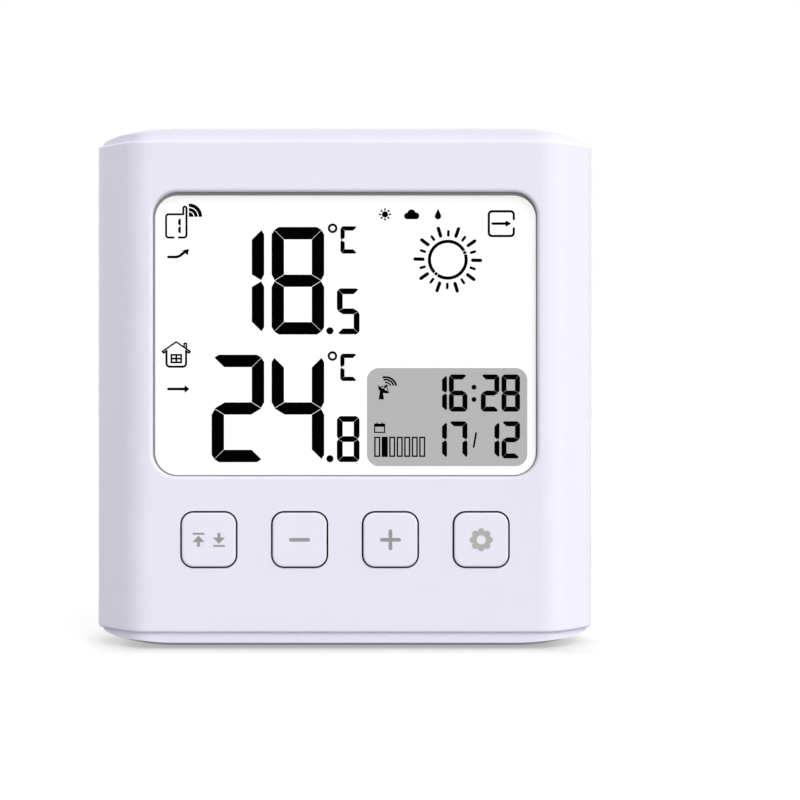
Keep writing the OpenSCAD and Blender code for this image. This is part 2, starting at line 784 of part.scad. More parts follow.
// Film on the display glass, from height z0 to z1
module film(d, z0, z1) {
    hw = glass_hw - film_inset;
    block([-hw, front_y + d, z0 + film_inset], [hw, front_y + d + film_t, z1 - film_inset]);
}

module front_polariser() {
    color([0.8, 0.82, 0.8]) film(film_d, window_z - glass_hh, window_z + glass_hh);
}

module front_glass() {
    color([0.8, 0.88, 0.85, 0.5]) block([-glass_hw, front_y + front_glass_d, window_z - glass_hh],
        [glass_hw, front_y + rear_glass_d, window_z + glass_hh]);
}

module rear_glass() {
    color([0.8, 0.88, 0.85, 0.5]) block([-glass_hw, front_y + rear_glass_d, window_z - glass_hh + ledge_h],
        [glass_hw, front_y + reflector_d, window_z + glass_hh]);
}

module reflector() {
    color("gainsboro") film(reflector_d, window_z - glass_hh + ledge_h, window_z + glass_hh);
}

module display_frame() {
    front_d = film_d;
    shelf_z0 = window_z - glass_hh + ledge_h + fit_gap;
    hole_hw = glass_hw - shelf_w;
    hole_top = window_z + glass_hh - shelf_w;
    color("whitesmoke") {
        front_plate(front_d, board_d, 0, window_z) difference() {
            square([2 * frame_hw, 2 * frame_hh], center = true);
            square(2 * [glass_hw + fit_gap, glass_hh + fit_gap], center = true);
        }
        difference() {
            block([-frame_hw, front_y + shelf_d, shelf_z0],
                [frame_hw, front_y + shelf_d + shelf_t, window_z + frame_hh]);
            block([-hole_hw, front_y + shelf_d - cut, shelf_z0 + shelf_w],
                [hole_hw, front_y + shelf_d + shelf_t + cut, hole_top]);
        }
    }
}

module zebra_strip() {
    z0 = window_z - glass_hh + (ledge_h - zebra_t) / 2;
    hw = glass_hw - film_inset;
    color("dimgray") block([-hw, front_y + rear_glass_d, z0], [hw, front_y + board_d, z0 + zebra_t]);
}

// Key with its rounded front edge, flange and stem, for the switch at x
module key(x) {
    e = key_edge_r;
    hs = key_size / 2;
    straight = hs - key_r;
    color(casing_white) {
        front_plate(e - key_proud, flange_d + cut, x, key_z) round_rect(key_size, key_size, key_r);
        front_plate(-key_proud, flange_d, x, key_z) round_rect(key_size - 2 * e, key_size - 2 * e, key_r - e);
        translate([x, front_y + e - key_proud, key_z]) rotate([90, 0, 0]) for (a = [0 : 90 : 270]) rotate(a) {
            edge_line([hs - e, -straight], [hs - e, straight]) edge_profile(e);
            edge_arc([straight, straight], key_r - e, 0, 90) edge_profile(e);
        }
        front_plate(flange_d, flange_d + flange_t, x, key_z)
            round_rect(key_size + 2 * key_flange, key_size + 2 * key_flange, key_r);
        rod_y_way(x, key_z, front_y + flange_d, front_y + plunger_d, stem_r);
    }
}

module memory_key() {
    key(key_x[0]);
}

module minus_key() {
    key(key_x[1]);
}

module plus_key() {
    key(key_x[2]);
}

module settings_key() {
    key(key_x[3]);
}

// Plunger of the switch at x
module plunger(x) {
    color("dimgray") rod_y_way(x, key_z, front_y + plunger_d, front_y + switch_d + plunger_tail, plunger_r);
}

module memory_plunger() {
    plunger(key_x[0]);
}

module minus_plunger() {
    plunger(key_x[1]);
}

module plus_plunger() {
    plunger(key_x[2]);
}

module settings_plunger() {
    plunger(key_x[3]);
}

module switch_bodies() {
    well = plunger_tail + key_travel + fit_gap;
    color("silver") for (x = key_x) difference() {
        block([x - switch_size / 2, front_y + switch_d, key_z - switch_size / 2],
            [x + switch_size / 2, front_y + board_d, key_z + switch_size / 2]);
        rod_y_way(x, key_z, front_y + switch_d - cut, front_y + switch_d + well, plunger_r + pin_gap);
    }
}

module main_board() {
    color("seagreen") difference() {
        block([-board_hw, front_y + board_d, board_z0], [board_hw, front_y + board_rear_d, board_z1]);
        for (x = [-1, 1], z = [board_post_low, board_post_high])
            rod_y_way(x * board_post_x, z, front_y + board_d - cut, front_y + board_rear_d + cut,
                screw_r + screw_gap);
    }
}

// Cast resin over the controller chip
module chip_cover() {
    cast_r = 8;
    cast_h = 1.6;
    dome_r = (cast_r * cast_r + cast_h * cast_h) / (2 * cast_h);
    y0 = front_y + board_rear_d;
    color([0.12, 0.12, 0.13]) intersection() {
        translate([0, y0 + cast_h - dome_r, leg_axis_z - 3 * cast_r / 2]) sphere(dome_r, $fn = 240);
        block([-cast_r, y0, belt_z0], [cast_r, y0 + cast_h, belt_z1]);
    }
}

module clock_crystal() {
    can_r = 1.5;
    color("silver") rod_x_way(-stand_hw / 2, front_y + board_rear_d + can_r, leg_axis_z - stand_hw,
        crystal_l, can_r);
}

module buffer_capacitor() {
    can_r = 2.5;
    color([0.2, 0.2, 0.35]) rod_y_way(stand_hw / 2, leg_axis_z - stand_hw, front_y + board_rear_d,
        front_y + board_rear_d + capacitor_l, can_r);
}

module receiver_header() {
    z0 = receiver_z - receiver_h / 2 + receiver_t;
    color([0.15, 0.15, 0.15]) block([receiver_x - receiver_w / 2, front_y + board_rear_d, z0],
        [receiver_x + receiver_w / 2, receiver_y, z0 + header_h]);
}

module receiver_board() {
    color("darkgreen") block([receiver_x - receiver_w / 2, receiver_y, receiver_z - receiver_h / 2],
        [receiver_x + receiver_w / 2, receiver_y + receiver_t, receiver_top]);
}

// Rings of points round a path, with the ring's plane set by the path's direction
function unit(v) = v / norm(v);
function way_at(path, k) = unit(path[min(k + 1, len(path) - 1)] - path[max(k - 1, 0)]);
function ring_at(p, way, side, r, n) = let (u = unit(side - (side * way) * way), v = cross(way, u))
    [for (j = [0 : n - 1]) p + r * (cos(360 * j / n) * u + sin(360 * j / n) * v)];

// Tube of radius r along a path that winds round the Z axis
module wound_tube(path, r, sides = 6) {
    last = len(path) - 1;
    rings = [for (k = [0 : last]) let (p = path[k]) ring_at(p, way_at(path, k), [p[0], p[1], 0], r, sides)];
    points = [for (ring = rings, p = ring) p];
    walls = [for (k = [0 : last - 1], j = [0 : sides - 1])
        let (a = k * sides + j, b = k * sides + (j + 1) % sides)
            each [[a, b + sides, b], [a, a + sides, b + sides]]];
    lids = [for (j = [1 : sides - 2])
        each [[0, j, j + 1], [last * sides, last * sides + j + 1, last * sides + j]]];
    polyhedron(points, concat(walls, lids));
}

// Path of a spring up the Z axis: straight ends, and curls whose radius runs from r0 to r1
curl_rings = 8;
function spring_path(l, r0, r1, wire, curls) =
    let (n = curls * curl_rings, lead = 2 * wire, rise = l - 2 * lead) concat([[r0, 0, 0]],
        [for (k = [0 : n]) let (t = k / n, r = r0 + (r1 - r0) * t, a = 360 * curls * t)
            [r * cos(a), r * sin(a), lead + rise * t]],
        [[r1, 0, l]]);

// Least gap between a path's curls, each a tube of radius r
function own_gap(path, r) = min([for (k = [0 : len(path) - 1], j = [k + curl_rings / 2 + 1 : 1 : len(path) - 1])
    norm(path[k] - path[j])]) - 2 * r;

battery_spring_path = spring_path(spring_l, spring_base_r, spring_tip_r, spring_wire_r, spring_curls);
aerial_path = spring_path(aerial_turns * aerial_pitch + 4 * aerial_wire_r, aerial_r, aerial_r, aerial_wire_r,
    aerial_turns);
echo(battery_spring_gap = own_gap(battery_spring_path, spring_wire_r));
echo(aerial_gap = own_gap(aerial_path, aerial_wire_r));

module receiver_aerial() {
    color("goldenrod") translate([receiver_x, receiver_y + receiver_t / 2, receiver_top])
        wound_tube(aerial_path, aerial_wire_r);
}

module ferrite_rod() {
    color([0.2, 0.2, 0.22]) translate([rod_x, rod_y, mid_z - rod_l / 2]) cylinder(r = rod_r, h = rod_l);
}

module ferrite_coil() {
    color("chocolate") translate([rod_x, rod_y, mid_z - coil_l / 2]) difference() {
        cylinder(r = rod_r + coil_t, h = coil_l);
        translate([0, 0, -cut]) cylinder(r = rod_r + pin_gap, h = coil_l + 2 * cut);
    }
}

module temperature_sensor() {
    lead_r = 0.25;
    y0 = front_y + board_rear_d;
    y1 = rear_wall_y - 3 * sensor_r;
    color("black") {
        translate([sensor_x, y1, sensor_z]) sphere(sensor_r);
        for (s = [-1, 1]) rod_y_way(sensor_x + s * sensor_r / 2, sensor_z, y0, y1, lead_r);
    }
}

// Cell along X with its button end at +X
module cell(x_end, z) {
    body_l = cell_l - button_h;
    translate([x_end - cell_l, cell_y, z]) rotate([0, 90, 0]) {
        cylinder(r = cell_d / 2, h = body_l);
        cylinder(r = button_r, h = cell_l);
    }
}

// Plane of the contact bump, and the plain end that the spring pushes
contact_x = bay_hw - plate_t - button_h;

module upper_cell() {
    color("slategray") cell(contact_x, bay_z + cell_pitch / 2);
}

module lower_cell() {
    color("slategray") mirror([1, 0, 0]) cell(contact_x, bay_z - cell_pitch / 2);
}

// Contact plate against the end wall at -X, at the height of one cell
module contact_plate(z) {
    hw = plate_w / 2;
    block([-bay_hw, bay_y, z - hw], [plate_t - bay_hw, bay_y + plate_w, z + hw]);
}

// Raised bump that meets a cell's button
module contact_bump(z) {
    rod_x_way(plate_t - bay_hw + button_h / 2, cell_y, z, button_h, button_r);
}

// Tail through the bay's floor to the main board
module solder_tail(z) {
    block([-bay_hw, front_y + board_rear_d, z - tail_w / 2],
        [plate_t - bay_hw, bay_y + plate_t, z + tail_w / 2]);
}

module spring_plate() {
    z = bay_z + cell_pitch / 2;
    color("silver") {
        contact_plate(z);
        solder_tail(z);
    }
}

module flat_plate() {
    z = bay_z - cell_pitch / 2;
    color("silver") {
        contact_plate(z);
        contact_bump(z);
        solder_tail(z);
    }
}

module bridge_plate() {
    hw = plate_w / 2;
    z = cell_pitch / 2;
    color("silver") mirror([1, 0, 0]) {
        block([-bay_hw, bay_y, bay_z - z - hw], [plate_t - bay_hw, bay_y + plate_w, bay_z + z + hw]);
        contact_bump(bay_z + z);
    }
}

module battery_springs() {
    color("silver") for (s = [-1, 1]) translate([s * (plate_t - bay_hw), cell_y, bay_z + s * cell_pitch / 2])
        rotate([0, s * 90, 0]) wound_tube(battery_spring_path, spring_wire_r);
}

module battery_door() {
    inner_y = rear_y - door_t;
    color(casing_white) {
        difference() {
            union() {
                block([-door_hw, inner_y, door_bottom], [door_hw, rear_y, door_axis_z]);
                rod_x_way(0, door_axis_y, door_axis_z, 2 * door_hw, door_hinge_r);
            }
            for (s = [-1, 1]) block([(s * latch_w - latch_slit) / 2, inner_y - cut, door_bottom - cut],
                [(s * latch_w + latch_slit) / 2, rear_y + cut, door_bottom + latch_l]);
            for (k = [1 : 3])
                rod_x_way(0, rear_y + grip_r / 3, door_bottom + k * grip_pitch, latch_w - 5 * grip_r, grip_r);
        }
        rod_x_way(0, door_axis_y, door_axis_z, 2 * (door_hw + door_pin_l), door_pin_r);
    }
}

module stand_leg() {
    tip_z = leg_tip_z + leg_tip_r;
    hw = leg_w / 2;
    pocket_hw = hw - leg_rim;
    inner_y = rear_y - leg_t;
    color(casing_white) {
        difference() {
            union() {
                translate([0, rear_y, 0]) rotate([90, 0, 0]) linear_extrude(leg_t) {
                    translate([-hw, tip_z]) square([leg_w, leg_axis_z - tip_z]);
                    translate([leg_tip_r - hw, leg_tip_z]) square([leg_w - 2 * leg_tip_r, leg_tip_r]);
                    for (s = [-1, 1]) translate([s * (hw - leg_tip_r), tip_z]) circle(leg_tip_r);
                }
                rod_x_way(0, leg_axis_y, leg_axis_z, leg_w, leg_hinge_r);
            }
            difference() {
                block([-pocket_hw, inner_y - cut, tip_z + leg_rim],
                    [pocket_hw, rear_y - leg_t / 2, leg_axis_z - leg_hinge_r - leg_rim]);
                for (s = [-1, 1]) block([s * pocket_hw / 3 - leg_rib_t / 2, inner_y - cut, tip_z],
                    [s * pocket_hw / 3 + leg_rib_t / 2, rear_y, leg_axis_z]);
            }
            for (k = [1 : 3])
                rod_x_way(0, rear_y + grip_r / 3, leg_tip_z + k * grip_pitch, leg_w / 2, grip_r);
        }
        rod_x_way(0, leg_axis_y, leg_axis_z, leg_w + 2 * leg_pin_l, leg_pin_r);
    }
}

// Screw along Y with its head towards the rear, seated at y
module screw(x, y, z, l) {
    top = y + screw_head_h;
    span = 0.7 * screw_head_r;
    difference() {
        union() {
            rod_y_way(x, z, y - l, y + cut, screw_r);
            rod_y_way(x, z, y, top, screw_head_r);
        }
        for (a = [[span, recess_w / 2], [recess_w / 2, span]])
            block([x - a[0], top - recess_d, z - a[1]], [x + a[0], top + cut, z + a[1]]);
    }
}

module case_screws() {
    color("silver") for (x = [-1, 1], z = post_z) screw(x * post_x, screw_seat_y, z, screw_l);
}

module board_screws() {
    color("silver") for (x = [-1, 1], z = [board_post_low, board_post_high])
        screw(x * board_post_x, front_y + board_rear_d, z, board_screw_l);
}

front_cover();
rear_cover();
display_lens();
lens_tape();
memory_key();
minus_key();
plus_key();
settings_key();
memory_plunger();
minus_plunger();
plus_plunger();
settings_plunger();
switch_bodies();
front_polariser();
front_glass();
rear_glass();
reflector();
display_frame();
zebra_strip();
main_board();
chip_cover();
clock_crystal();
buffer_capacitor();
receiver_header();
receiver_board();
receiver_aerial();
ferrite_rod();
ferrite_coil();
temperature_sensor();
upper_cell();
lower_cell();
spring_plate();
flat_plate();
bridge_plate();
battery_springs();
battery_door();
stand_leg();
case_screws();
board_screws();
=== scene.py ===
from math import atan2, cos, pi, radians, sin
import bpy
import bmesh
from mathutils import Matrix, Vector


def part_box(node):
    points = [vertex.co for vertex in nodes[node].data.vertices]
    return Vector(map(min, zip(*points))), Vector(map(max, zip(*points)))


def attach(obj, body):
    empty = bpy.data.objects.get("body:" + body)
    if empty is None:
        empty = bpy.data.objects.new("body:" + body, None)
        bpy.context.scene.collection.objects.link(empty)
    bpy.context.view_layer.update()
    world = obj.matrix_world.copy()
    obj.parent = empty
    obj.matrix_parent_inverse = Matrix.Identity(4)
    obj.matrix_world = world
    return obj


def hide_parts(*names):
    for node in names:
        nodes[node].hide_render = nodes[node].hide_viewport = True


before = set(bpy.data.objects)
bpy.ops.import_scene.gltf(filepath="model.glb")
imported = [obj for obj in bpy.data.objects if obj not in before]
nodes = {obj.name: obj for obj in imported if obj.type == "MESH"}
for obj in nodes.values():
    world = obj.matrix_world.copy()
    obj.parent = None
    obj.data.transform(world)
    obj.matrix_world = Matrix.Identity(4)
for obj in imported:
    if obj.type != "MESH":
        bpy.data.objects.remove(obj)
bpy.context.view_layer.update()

scene = bpy.context.scene
print("frame loaded:", len(nodes), "nodes")


# shader node helpers
def addNode(tree, kind, **values):
    node = tree.nodes.new(kind)
    for key, value in values.items():
        if hasattr(node, key):
            setattr(node, key, value)
        else:
            node.inputs[key].default_value = value
    return node


def join(tree, source, target):
    tree.links.new(source, target)


def objectPlace(tree):
    return addNode(tree, "ShaderNodeTexCoord").outputs["Object"]


def newGroup(name, inputs, outputs):
    group = bpy.data.node_groups.new(name, "ShaderNodeTree")
    for label, value in inputs:
        socket = group.interface.new_socket(label, in_out="INPUT", socket_type="NodeSocketFloat")
        socket.default_value = value
    for label in outputs:
        group.interface.new_socket(label, in_out="OUTPUT", socket_type="NodeSocketFloat")
    return group, group.nodes.new("NodeGroupInput"), group.nodes.new("NodeGroupOutput")


# fine spark-eroded mould texture, with a slow drift of tone
grainLook = {"grain": 2600.0, "drift": 60.0, "grainGloss": 0.35, "bump": 0.15, "depth": 0.00002}


def makeMouldGrain():
    inputs = [("Grain", grainLook["grain"]), ("Drift", grainLook["drift"])]
    group, source, sink = newGroup("mouldGrain", inputs, ["Tone", "Gloss", "Height"])
    place = objectPlace(group)
    grain = addNode(group, "ShaderNodeTexNoise", Detail=2.0, Roughness=0.55)
    drift = addNode(group, "ShaderNodeTexNoise", Detail=3.0, Roughness=0.6)
    for texture, label in ((grain, "Grain"), (drift, "Drift")):
        join(group, place, texture.inputs["Vector"])
        join(group, source.outputs[label], texture.inputs["Scale"])
    gloss = addNode(group, "ShaderNodeMath", operation="MULTIPLY_ADD")
    gloss.inputs[1].default_value = grainLook["grainGloss"]
    join(group, grain.outputs["Fac"], gloss.inputs[0])
    join(group, drift.outputs["Fac"], gloss.inputs[2])
    join(group, drift.outputs["Fac"], sink.inputs["Tone"])
    join(group, gloss.outputs["Value"], sink.inputs["Gloss"])
    join(group, grain.outputs["Fac"], sink.inputs["Height"])
    return group


# long fine scratches along one direction, for drawn and plated metal
linesLook = {"lines": 900.0, "stretch": (1, 1, 0.04), "bump": 0.2, "depth": 0.00001}


def makeDrawnLines():
    group, source, sink = newGroup("drawnLines", [("Lines", linesLook["lines"])], ["Tone", "Height"])
    mapping = addNode(group, "ShaderNodeMapping", Scale=linesLook["stretch"])
    join(group, objectPlace(group), mapping.inputs["Vector"])
    lines = addNode(group, "ShaderNodeTexNoise", Detail=4.0, Roughness=0.7)
    join(group, mapping.outputs["Vector"], lines.inputs["Vector"])
    join(group, source.outputs["Lines"], lines.inputs["Scale"])
    join(group, lines.outputs["Fac"], sink.inputs["Tone"])
    join(group, lines.outputs["Fac"], sink.inputs["Height"])
    return group


mouldGrain = makeMouldGrain()
drawnLines = makeDrawnLines()


# materials, each from a look with two tones, a range of roughness and its shader's plain sockets
def newMaterial(name, look):
    material = bpy.data.materials.new(name)
    material.use_nodes = True
    tree = material.node_tree
    tree.nodes.clear()
    shader = addNode(tree, "ShaderNodeBsdfPrincipled")
    output = addNode(tree, "ShaderNodeOutputMaterial")
    join(tree, shader.outputs["BSDF"], output.inputs["Surface"])
    for label, value in look["sockets"].items():
        shader.inputs[label].default_value = value
    material.diffuse_color = look["light"]
    return material, tree, shader


def toneMix(tree, fac, dark, light):
    mix = addNode(tree, "ShaderNodeMix", data_type="RGBA")
    join(tree, fac, mix.inputs["Factor"])
    mix.inputs["A"].default_value = dark
    mix.inputs["B"].default_value = light
    return mix.outputs["Result"]


def spread(tree, fac, low, high, start=0.0):
    reach = addNode(tree, "ShaderNodeMapRange")
    reach.inputs["From Min"].default_value = start
    reach.inputs["To Min"].default_value = low
    reach.inputs["To Max"].default_value = high
    join(tree, fac, reach.inputs["Value"])
    return reach.outputs["Result"]


# how far along one axis a point lies, 0 at start and 1 at end
def alongAxis(tree, axis, start, end):
    apart = addNode(tree, "ShaderNodeSeparateXYZ")
    join(tree, objectPlace(tree), apart.inputs["Vector"])
    along = addNode(tree, "ShaderNodeMapRange")
    along.inputs["From Min"].default_value = start
    along.inputs["From Max"].default_value = end
    join(tree, apart.outputs[axis], along.inputs["Value"])
    return along.outputs["Result"]


def bumped(tree, shader, height, look):
    bump = addNode(tree, "ShaderNodeBump", Strength=look["bump"], Distance=look["depth"])
    join(tree, height, bump.inputs["Height"])
    join(tree, bump.outputs["Normal"], shader.inputs["Normal"])


def grained(tree, look):
    grain = addNode(tree, "ShaderNodeGroup", node_tree=mouldGrain)
    grain.inputs["Grain"].default_value = look["grain"]
    grain.inputs["Drift"].default_value = look["drift"]
    return grain


def moulded(name, look):
    look = {**grainLook, **look}
    material, tree, shader = newMaterial(name, look)
    grain = grained(tree, look)
    color = toneMix(tree, grain.outputs["Tone"], look["dark"], look["light"])
    if "gapShade" in look:
        color = gapShaded(tree, color, look["gapShade"])
    join(tree, color, shader.inputs["Base Color"])
    join(tree, spread(tree, grain.outputs["Gloss"], *look["rough"]), shader.inputs["Roughness"])
    bumped(tree, shader, grain.outputs["Height"], look)
    return material


# painted shade: near-black on the key's lower edge and on the part that stays inside the cover, dark as the
# gap around the key
def gapShaded(tree, color, gapShade):
    mix = addNode(tree, "ShaderNodeMix", data_type="RGBA")
    join(tree, alongAxis(tree, "Y", gapShade["from"], gapShade["to"]), mix.inputs["Factor"])
    join(tree, color, mix.inputs["A"])
    mix.inputs["B"].default_value = gapShade["color"]
    return mix.outputs["Result"]


def drawn(name, look):
    look = {**linesLook, **look}
    material, tree, shader = newMaterial(name, look)
    lines = addNode(tree, "ShaderNodeGroup", node_tree=drawnLines)
    lines.inputs["Lines"].default_value = look["lines"]
    color = toneMix(tree, lines.outputs["Tone"], look["dark"], look["light"])
    join(tree, color, shader.inputs["Base Color"])
    join(tree, spread(tree, lines.outputs["Tone"], *look["rough"]), shader.inputs["Roughness"])
    bumped(tree, shader, lines.outputs["Height"], look)
    return material


# stripes across one axis: wound wire, layered rubber, tracks on a board
stripeLook = {"wander": 0.0, "from": 0.35, "to": 0.65, "bump": 0.3, "depth": 0.0001}


def striped(name, look):
    look = {**stripeLook, **look}
    material, tree, shader = newMaterial(name, look)
    wave = addNode(tree, "ShaderNodeTexWave", bands_direction=look["across"], Scale=look["stripes"],
                   Distortion=look["wander"])
    join(tree, objectPlace(tree), wave.inputs["Vector"])
    ramp = addNode(tree, "ShaderNodeValToRGB")
    ramp.color_ramp.elements[0].position = look["from"]
    ramp.color_ramp.elements[1].position = look["to"]
    join(tree, wave.outputs["Fac"], ramp.inputs["Fac"])
    color = toneMix(tree, ramp.outputs["Color"], look["dark"], look["light"])
    join(tree, color, shader.inputs["Base Color"])
    join(tree, spread(tree, wave.outputs["Fac"], *look["rough"]), shader.inputs["Roughness"])
    bumped(tree, shader, wave.outputs["Fac"], look)
    return material


# clear pane: lets the display through when faced, and shines along the view
def clearPane(name, look):
    material, tree, shader = newMaterial(name, look)
    grain = grained(tree, look)
    color = toneMix(tree, grain.outputs["Tone"], look["dark"], look["light"])
    join(tree, color, shader.inputs["Base Color"])
    join(tree, spread(tree, grain.outputs["Gloss"], *look["rough"]), shader.inputs["Roughness"])
    rim = addNode(tree, "ShaderNodeLayerWeight", Blend=look["rim"])
    join(tree, spread(tree, rim.outputs["Facing"], *look["cover"], look["faced"]), shader.inputs["Alpha"])
    return material


# printed cell sleeve: plain colour bands along X, with metal at both ends
def cellSleeve(name, look, low, high):
    material, tree, shader = newMaterial(name, look)
    bands = addNode(tree, "ShaderNodeValToRGB")
    bands.color_ramp.interpolation = "CONSTANT"
    ramp = bands.color_ramp.elements
    ramp[0].position, ramp[0].color = 0.0, look["metal"]
    ramp[1].position, ramp[1].color = look["bands"][0]
    for position, color in look["bands"][1:]:
        ramp.new(position).color = color
    join(tree, alongAxis(tree, "X", low, high), bands.inputs["Fac"])
    join(tree, bands.outputs["Color"], shader.inputs["Base Color"])
    grain = grained(tree, grainLook)
    join(tree, spread(tree, grain.outputs["Gloss"], *look["rough"]), shader.inputs["Roughness"])
    return material


casingLook = {
    "light": (0.812, 0.800, 0.930, 1), "dark": (0.782, 0.770, 0.905, 1), "rough": (0.50, 0.64),
    "drift": 70.0, "bump": 0.16, "sockets": {"Specular IOR Level": 0.20, "IOR": 1.49},
}
keyLook = {
    "light": (0.817, 0.805, 0.935, 1), "dark": (0.792, 0.780, 0.915, 1), "rough": (0.50, 0.62),
    "grain": 3400.0, "drift": 110.0, "bump": 0.12, "sockets": {"Specular IOR Level": 0.22, "IOR": 1.49},
    # painted shade: the key turns near-black from its lower edge inwards, where the gap around it is in
    # shade
    "gapShade": {"from": -0.01302, "to": -0.01280, "color": (0.012, 0.012, 0.015, 1)},
}
frameLook = {
    "light": (0.80, 0.80, 0.79, 1), "dark": (0.72, 0.72, 0.71, 1), "rough": (0.45, 0.6),
    "sockets": {"Specular IOR Level": 0.4},
}
blackLook = {
    "light": (0.030, 0.030, 0.032, 1), "dark": (0.016, 0.016, 0.018, 1), "rough": (0.35, 0.55),
    "sockets": {"Specular IOR Level": 0.5},
}
resinLook = {
    "light": (0.022, 0.022, 0.024, 1), "dark": (0.012, 0.012, 0.013, 1), "rough": (0.12, 0.28),
    "grain": 500.0, "sockets": {"Specular IOR Level": 0.55},
}
tapeLook = {
    "light": (0.70, 0.70, 0.71, 1), "dark": (0.62, 0.62, 0.63, 1), "rough": (0.55, 0.7),
    "sockets": {"Specular IOR Level": 0.3},
}
# display film: white paper with an added glow, painted light that keeps it white in the shade of the
# window's lip
glowPaperLook = {
    "light": (0.310, 0.314, 0.314, 1), "dark": (0.290, 0.294, 0.295, 1), "rough": (0.55, 0.7),
    "drift": 25.0, "bump": 0.03,
    "sockets": {"Specular IOR Level": 0.1, "Emission Color": (1, 1, 1, 1), "Emission Strength": 0.77},
}
reflectorLook = {
    "light": (0.86, 0.87, 0.87, 1), "dark": (0.78, 0.79, 0.79, 1), "rough": (0.25, 0.4),
    "sockets": {"Metallic": 0.6},
}
ferriteLook = {
    "light": (0.045, 0.045, 0.050, 1), "dark": (0.022, 0.022, 0.025, 1), "rough": (0.45, 0.7),
    "grain": 1200.0, "bump": 0.4, "sockets": {"Specular IOR Level": 0.5},
}
capacitorLook = {
    "light": (0.030, 0.030, 0.110, 1), "dark": (0.018, 0.018, 0.075, 1), "rough": (0.2, 0.35),
    "sockets": {"Specular IOR Level": 0.5},
}
nickelLook = {
    "light": (0.72, 0.71, 0.68, 1), "dark": (0.58, 0.57, 0.55, 1), "rough": (0.18, 0.36), "lines": 1400.0,
    "sockets": {"Metallic": 1.0},
}
zincLook = {
    "light": (0.62, 0.63, 0.66, 1), "dark": (0.46, 0.47, 0.50, 1), "rough": (0.25, 0.45), "lines": 1100.0,
    "sockets": {"Metallic": 1.0},
}
copperLook = {
    "light": (0.72, 0.36, 0.18, 1), "dark": (0.48, 0.20, 0.08, 1), "rough": (0.22, 0.4), "lines": 1500.0,
    "sockets": {"Metallic": 1.0},
}
windingLook = {
    "light": (0.66, 0.30, 0.13, 1), "dark": (0.30, 0.10, 0.04, 1), "rough": (0.25, 0.45), "across": "Z",
    "stripes": 700.0, "wander": 0.6, "bump": 0.7, "sockets": {"Metallic": 0.85},
}
zebraLook = {
    "light": (0.55, 0.36, 0.36, 1), "dark": (0.02, 0.02, 0.02, 1), "rough": (0.6, 0.75), "across": "X",
    "stripes": 1200.0, "sockets": {"Specular IOR Level": 0.3},
}
boardLook = {
    "light": (0.030, 0.185, 0.060, 1), "dark": (0.020, 0.130, 0.042, 1), "rough": (0.28, 0.4), "across": "X",
    "stripes": 130.0, "wander": 3.0, "from": 0.45, "to": 0.55, "bump": 0.25, "depth": 0.00004,
    "sockets": {"Specular IOR Level": 0.5},
}
lensLook = {
    "light": (0.040, 0.042, 0.045, 1), "dark": (0.025, 0.026, 0.028, 1), "rough": (0.03, 0.08),
    "grain": 900.0, "drift": 30.0, "rim": 0.30, "faced": 0.30, "cover": (0.0, 0.75),
    "sockets": {"Specular IOR Level": 0.5, "IOR": 1.49},
}
glassLook = {
    "light": (0.55, 0.66, 0.62, 1), "dark": (0.48, 0.60, 0.56, 1), "rough": (0.02, 0.05),
    "grain": 900.0, "drift": 30.0, "rim": 0.30, "faced": 0.10, "cover": (0.16, 0.75),
    "sockets": {"Specular IOR Level": 0.5, "IOR": 1.52},
}
cellLook = {
    "light": (0.10, 0.16, 0.26, 1), "metal": (0.66, 0.66, 0.64, 1), "rough": (0.18, 0.30),
    "bands": [(0.035, (0.085, 0.145, 0.245, 1)), (0.62, (0.62, 0.63, 0.65, 1)),
              (0.66, (0.55, 0.30, 0.10, 1)), (0.955, (0.66, 0.66, 0.64, 1))],
    "sockets": {"Metallic": 0.45},
}

casingPlastic = moulded("casingPlastic", casingLook)
keyPlastic = moulded("keyPlastic", keyLook)
zinc = drawn("zincPlate", zincLook)
nickel = drawn("nickelPlate", nickelLook)
copper = drawn("copperWire", copperLook)
boardGreen = striped("boardResist", boardLook)
lcdGlass = clearPane("displayGlass", glassLook)
blackPlastic = moulded("blackPlastic", blackLook)

nodeFinish = {
    "display_lens": clearPane("lensClear", lensLook),
    "lens_tape": moulded("tapeFilm", tapeLook),
    "switch_bodies": zinc,
    "front_polariser": moulded("displayGlowWhite", glowPaperLook),
    "front_glass": lcdGlass,
    "rear_glass": lcdGlass,
    "reflector": moulded("reflectorFilm", reflectorLook),
    "display_frame": moulded("frameWhite", frameLook),
    "zebra_strip": striped("zebraRubber", zebraLook),
    "main_board": boardGreen,
    "receiver_board": boardGreen,
    "chip_cover": moulded("castResin", resinLook),
    "clock_crystal": nickel,
    "buffer_capacitor": moulded("capacitorSleeve", capacitorLook),
    "receiver_header": blackPlastic,
    "receiver_aerial": copper,
    "ferrite_rod": moulded("ferrite", ferriteLook),
    "ferrite_coil": striped("coilWinding", windingLook),
    "temperature_sensor": moulded("sensorBead", resinLook),
    "spring_plate": nickel,
    "flat_plate": nickel,
    "bridge_plate": nickel,
    "battery_springs": nickel,
    "case_screws": zinc,
    "board_screws": zinc,
}
for name in ("front_cover", "rear_cover", "battery_door", "stand_leg"):
    nodeFinish[name] = casingPlastic
for name in ("memory", "minus", "plus", "settings"):
    nodeFinish[name + "_key"] = keyPlastic
    nodeFinish[name + "_plunger"] = blackPlastic
for name, way in (("upper_cell", 1), ("lower_cell", -1)):  # the cells lie head to tail
    low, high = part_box(name)
    ends = (low.x, high.x) if way > 0 else (high.x, low.x)
    nodeFinish[name] = cellSleeve(name + "Sleeve", cellLook, *ends)
for name, material in nodeFinish.items():
    mesh = nodes[name].data
    mesh.materials.clear()
    mesh.materials.append(material)
print("finishes set on", len(nodeFinish), "nodes")


def meshObject(name, bm, material):
    mesh = bpy.data.meshes.new(name)
    bm.to_mesh(mesh)
    bm.free()
    thing = bpy.data.objects.new(name, mesh)
    scene.collection.objects.link(thing)
    mesh.materials.append(material)
    return thing
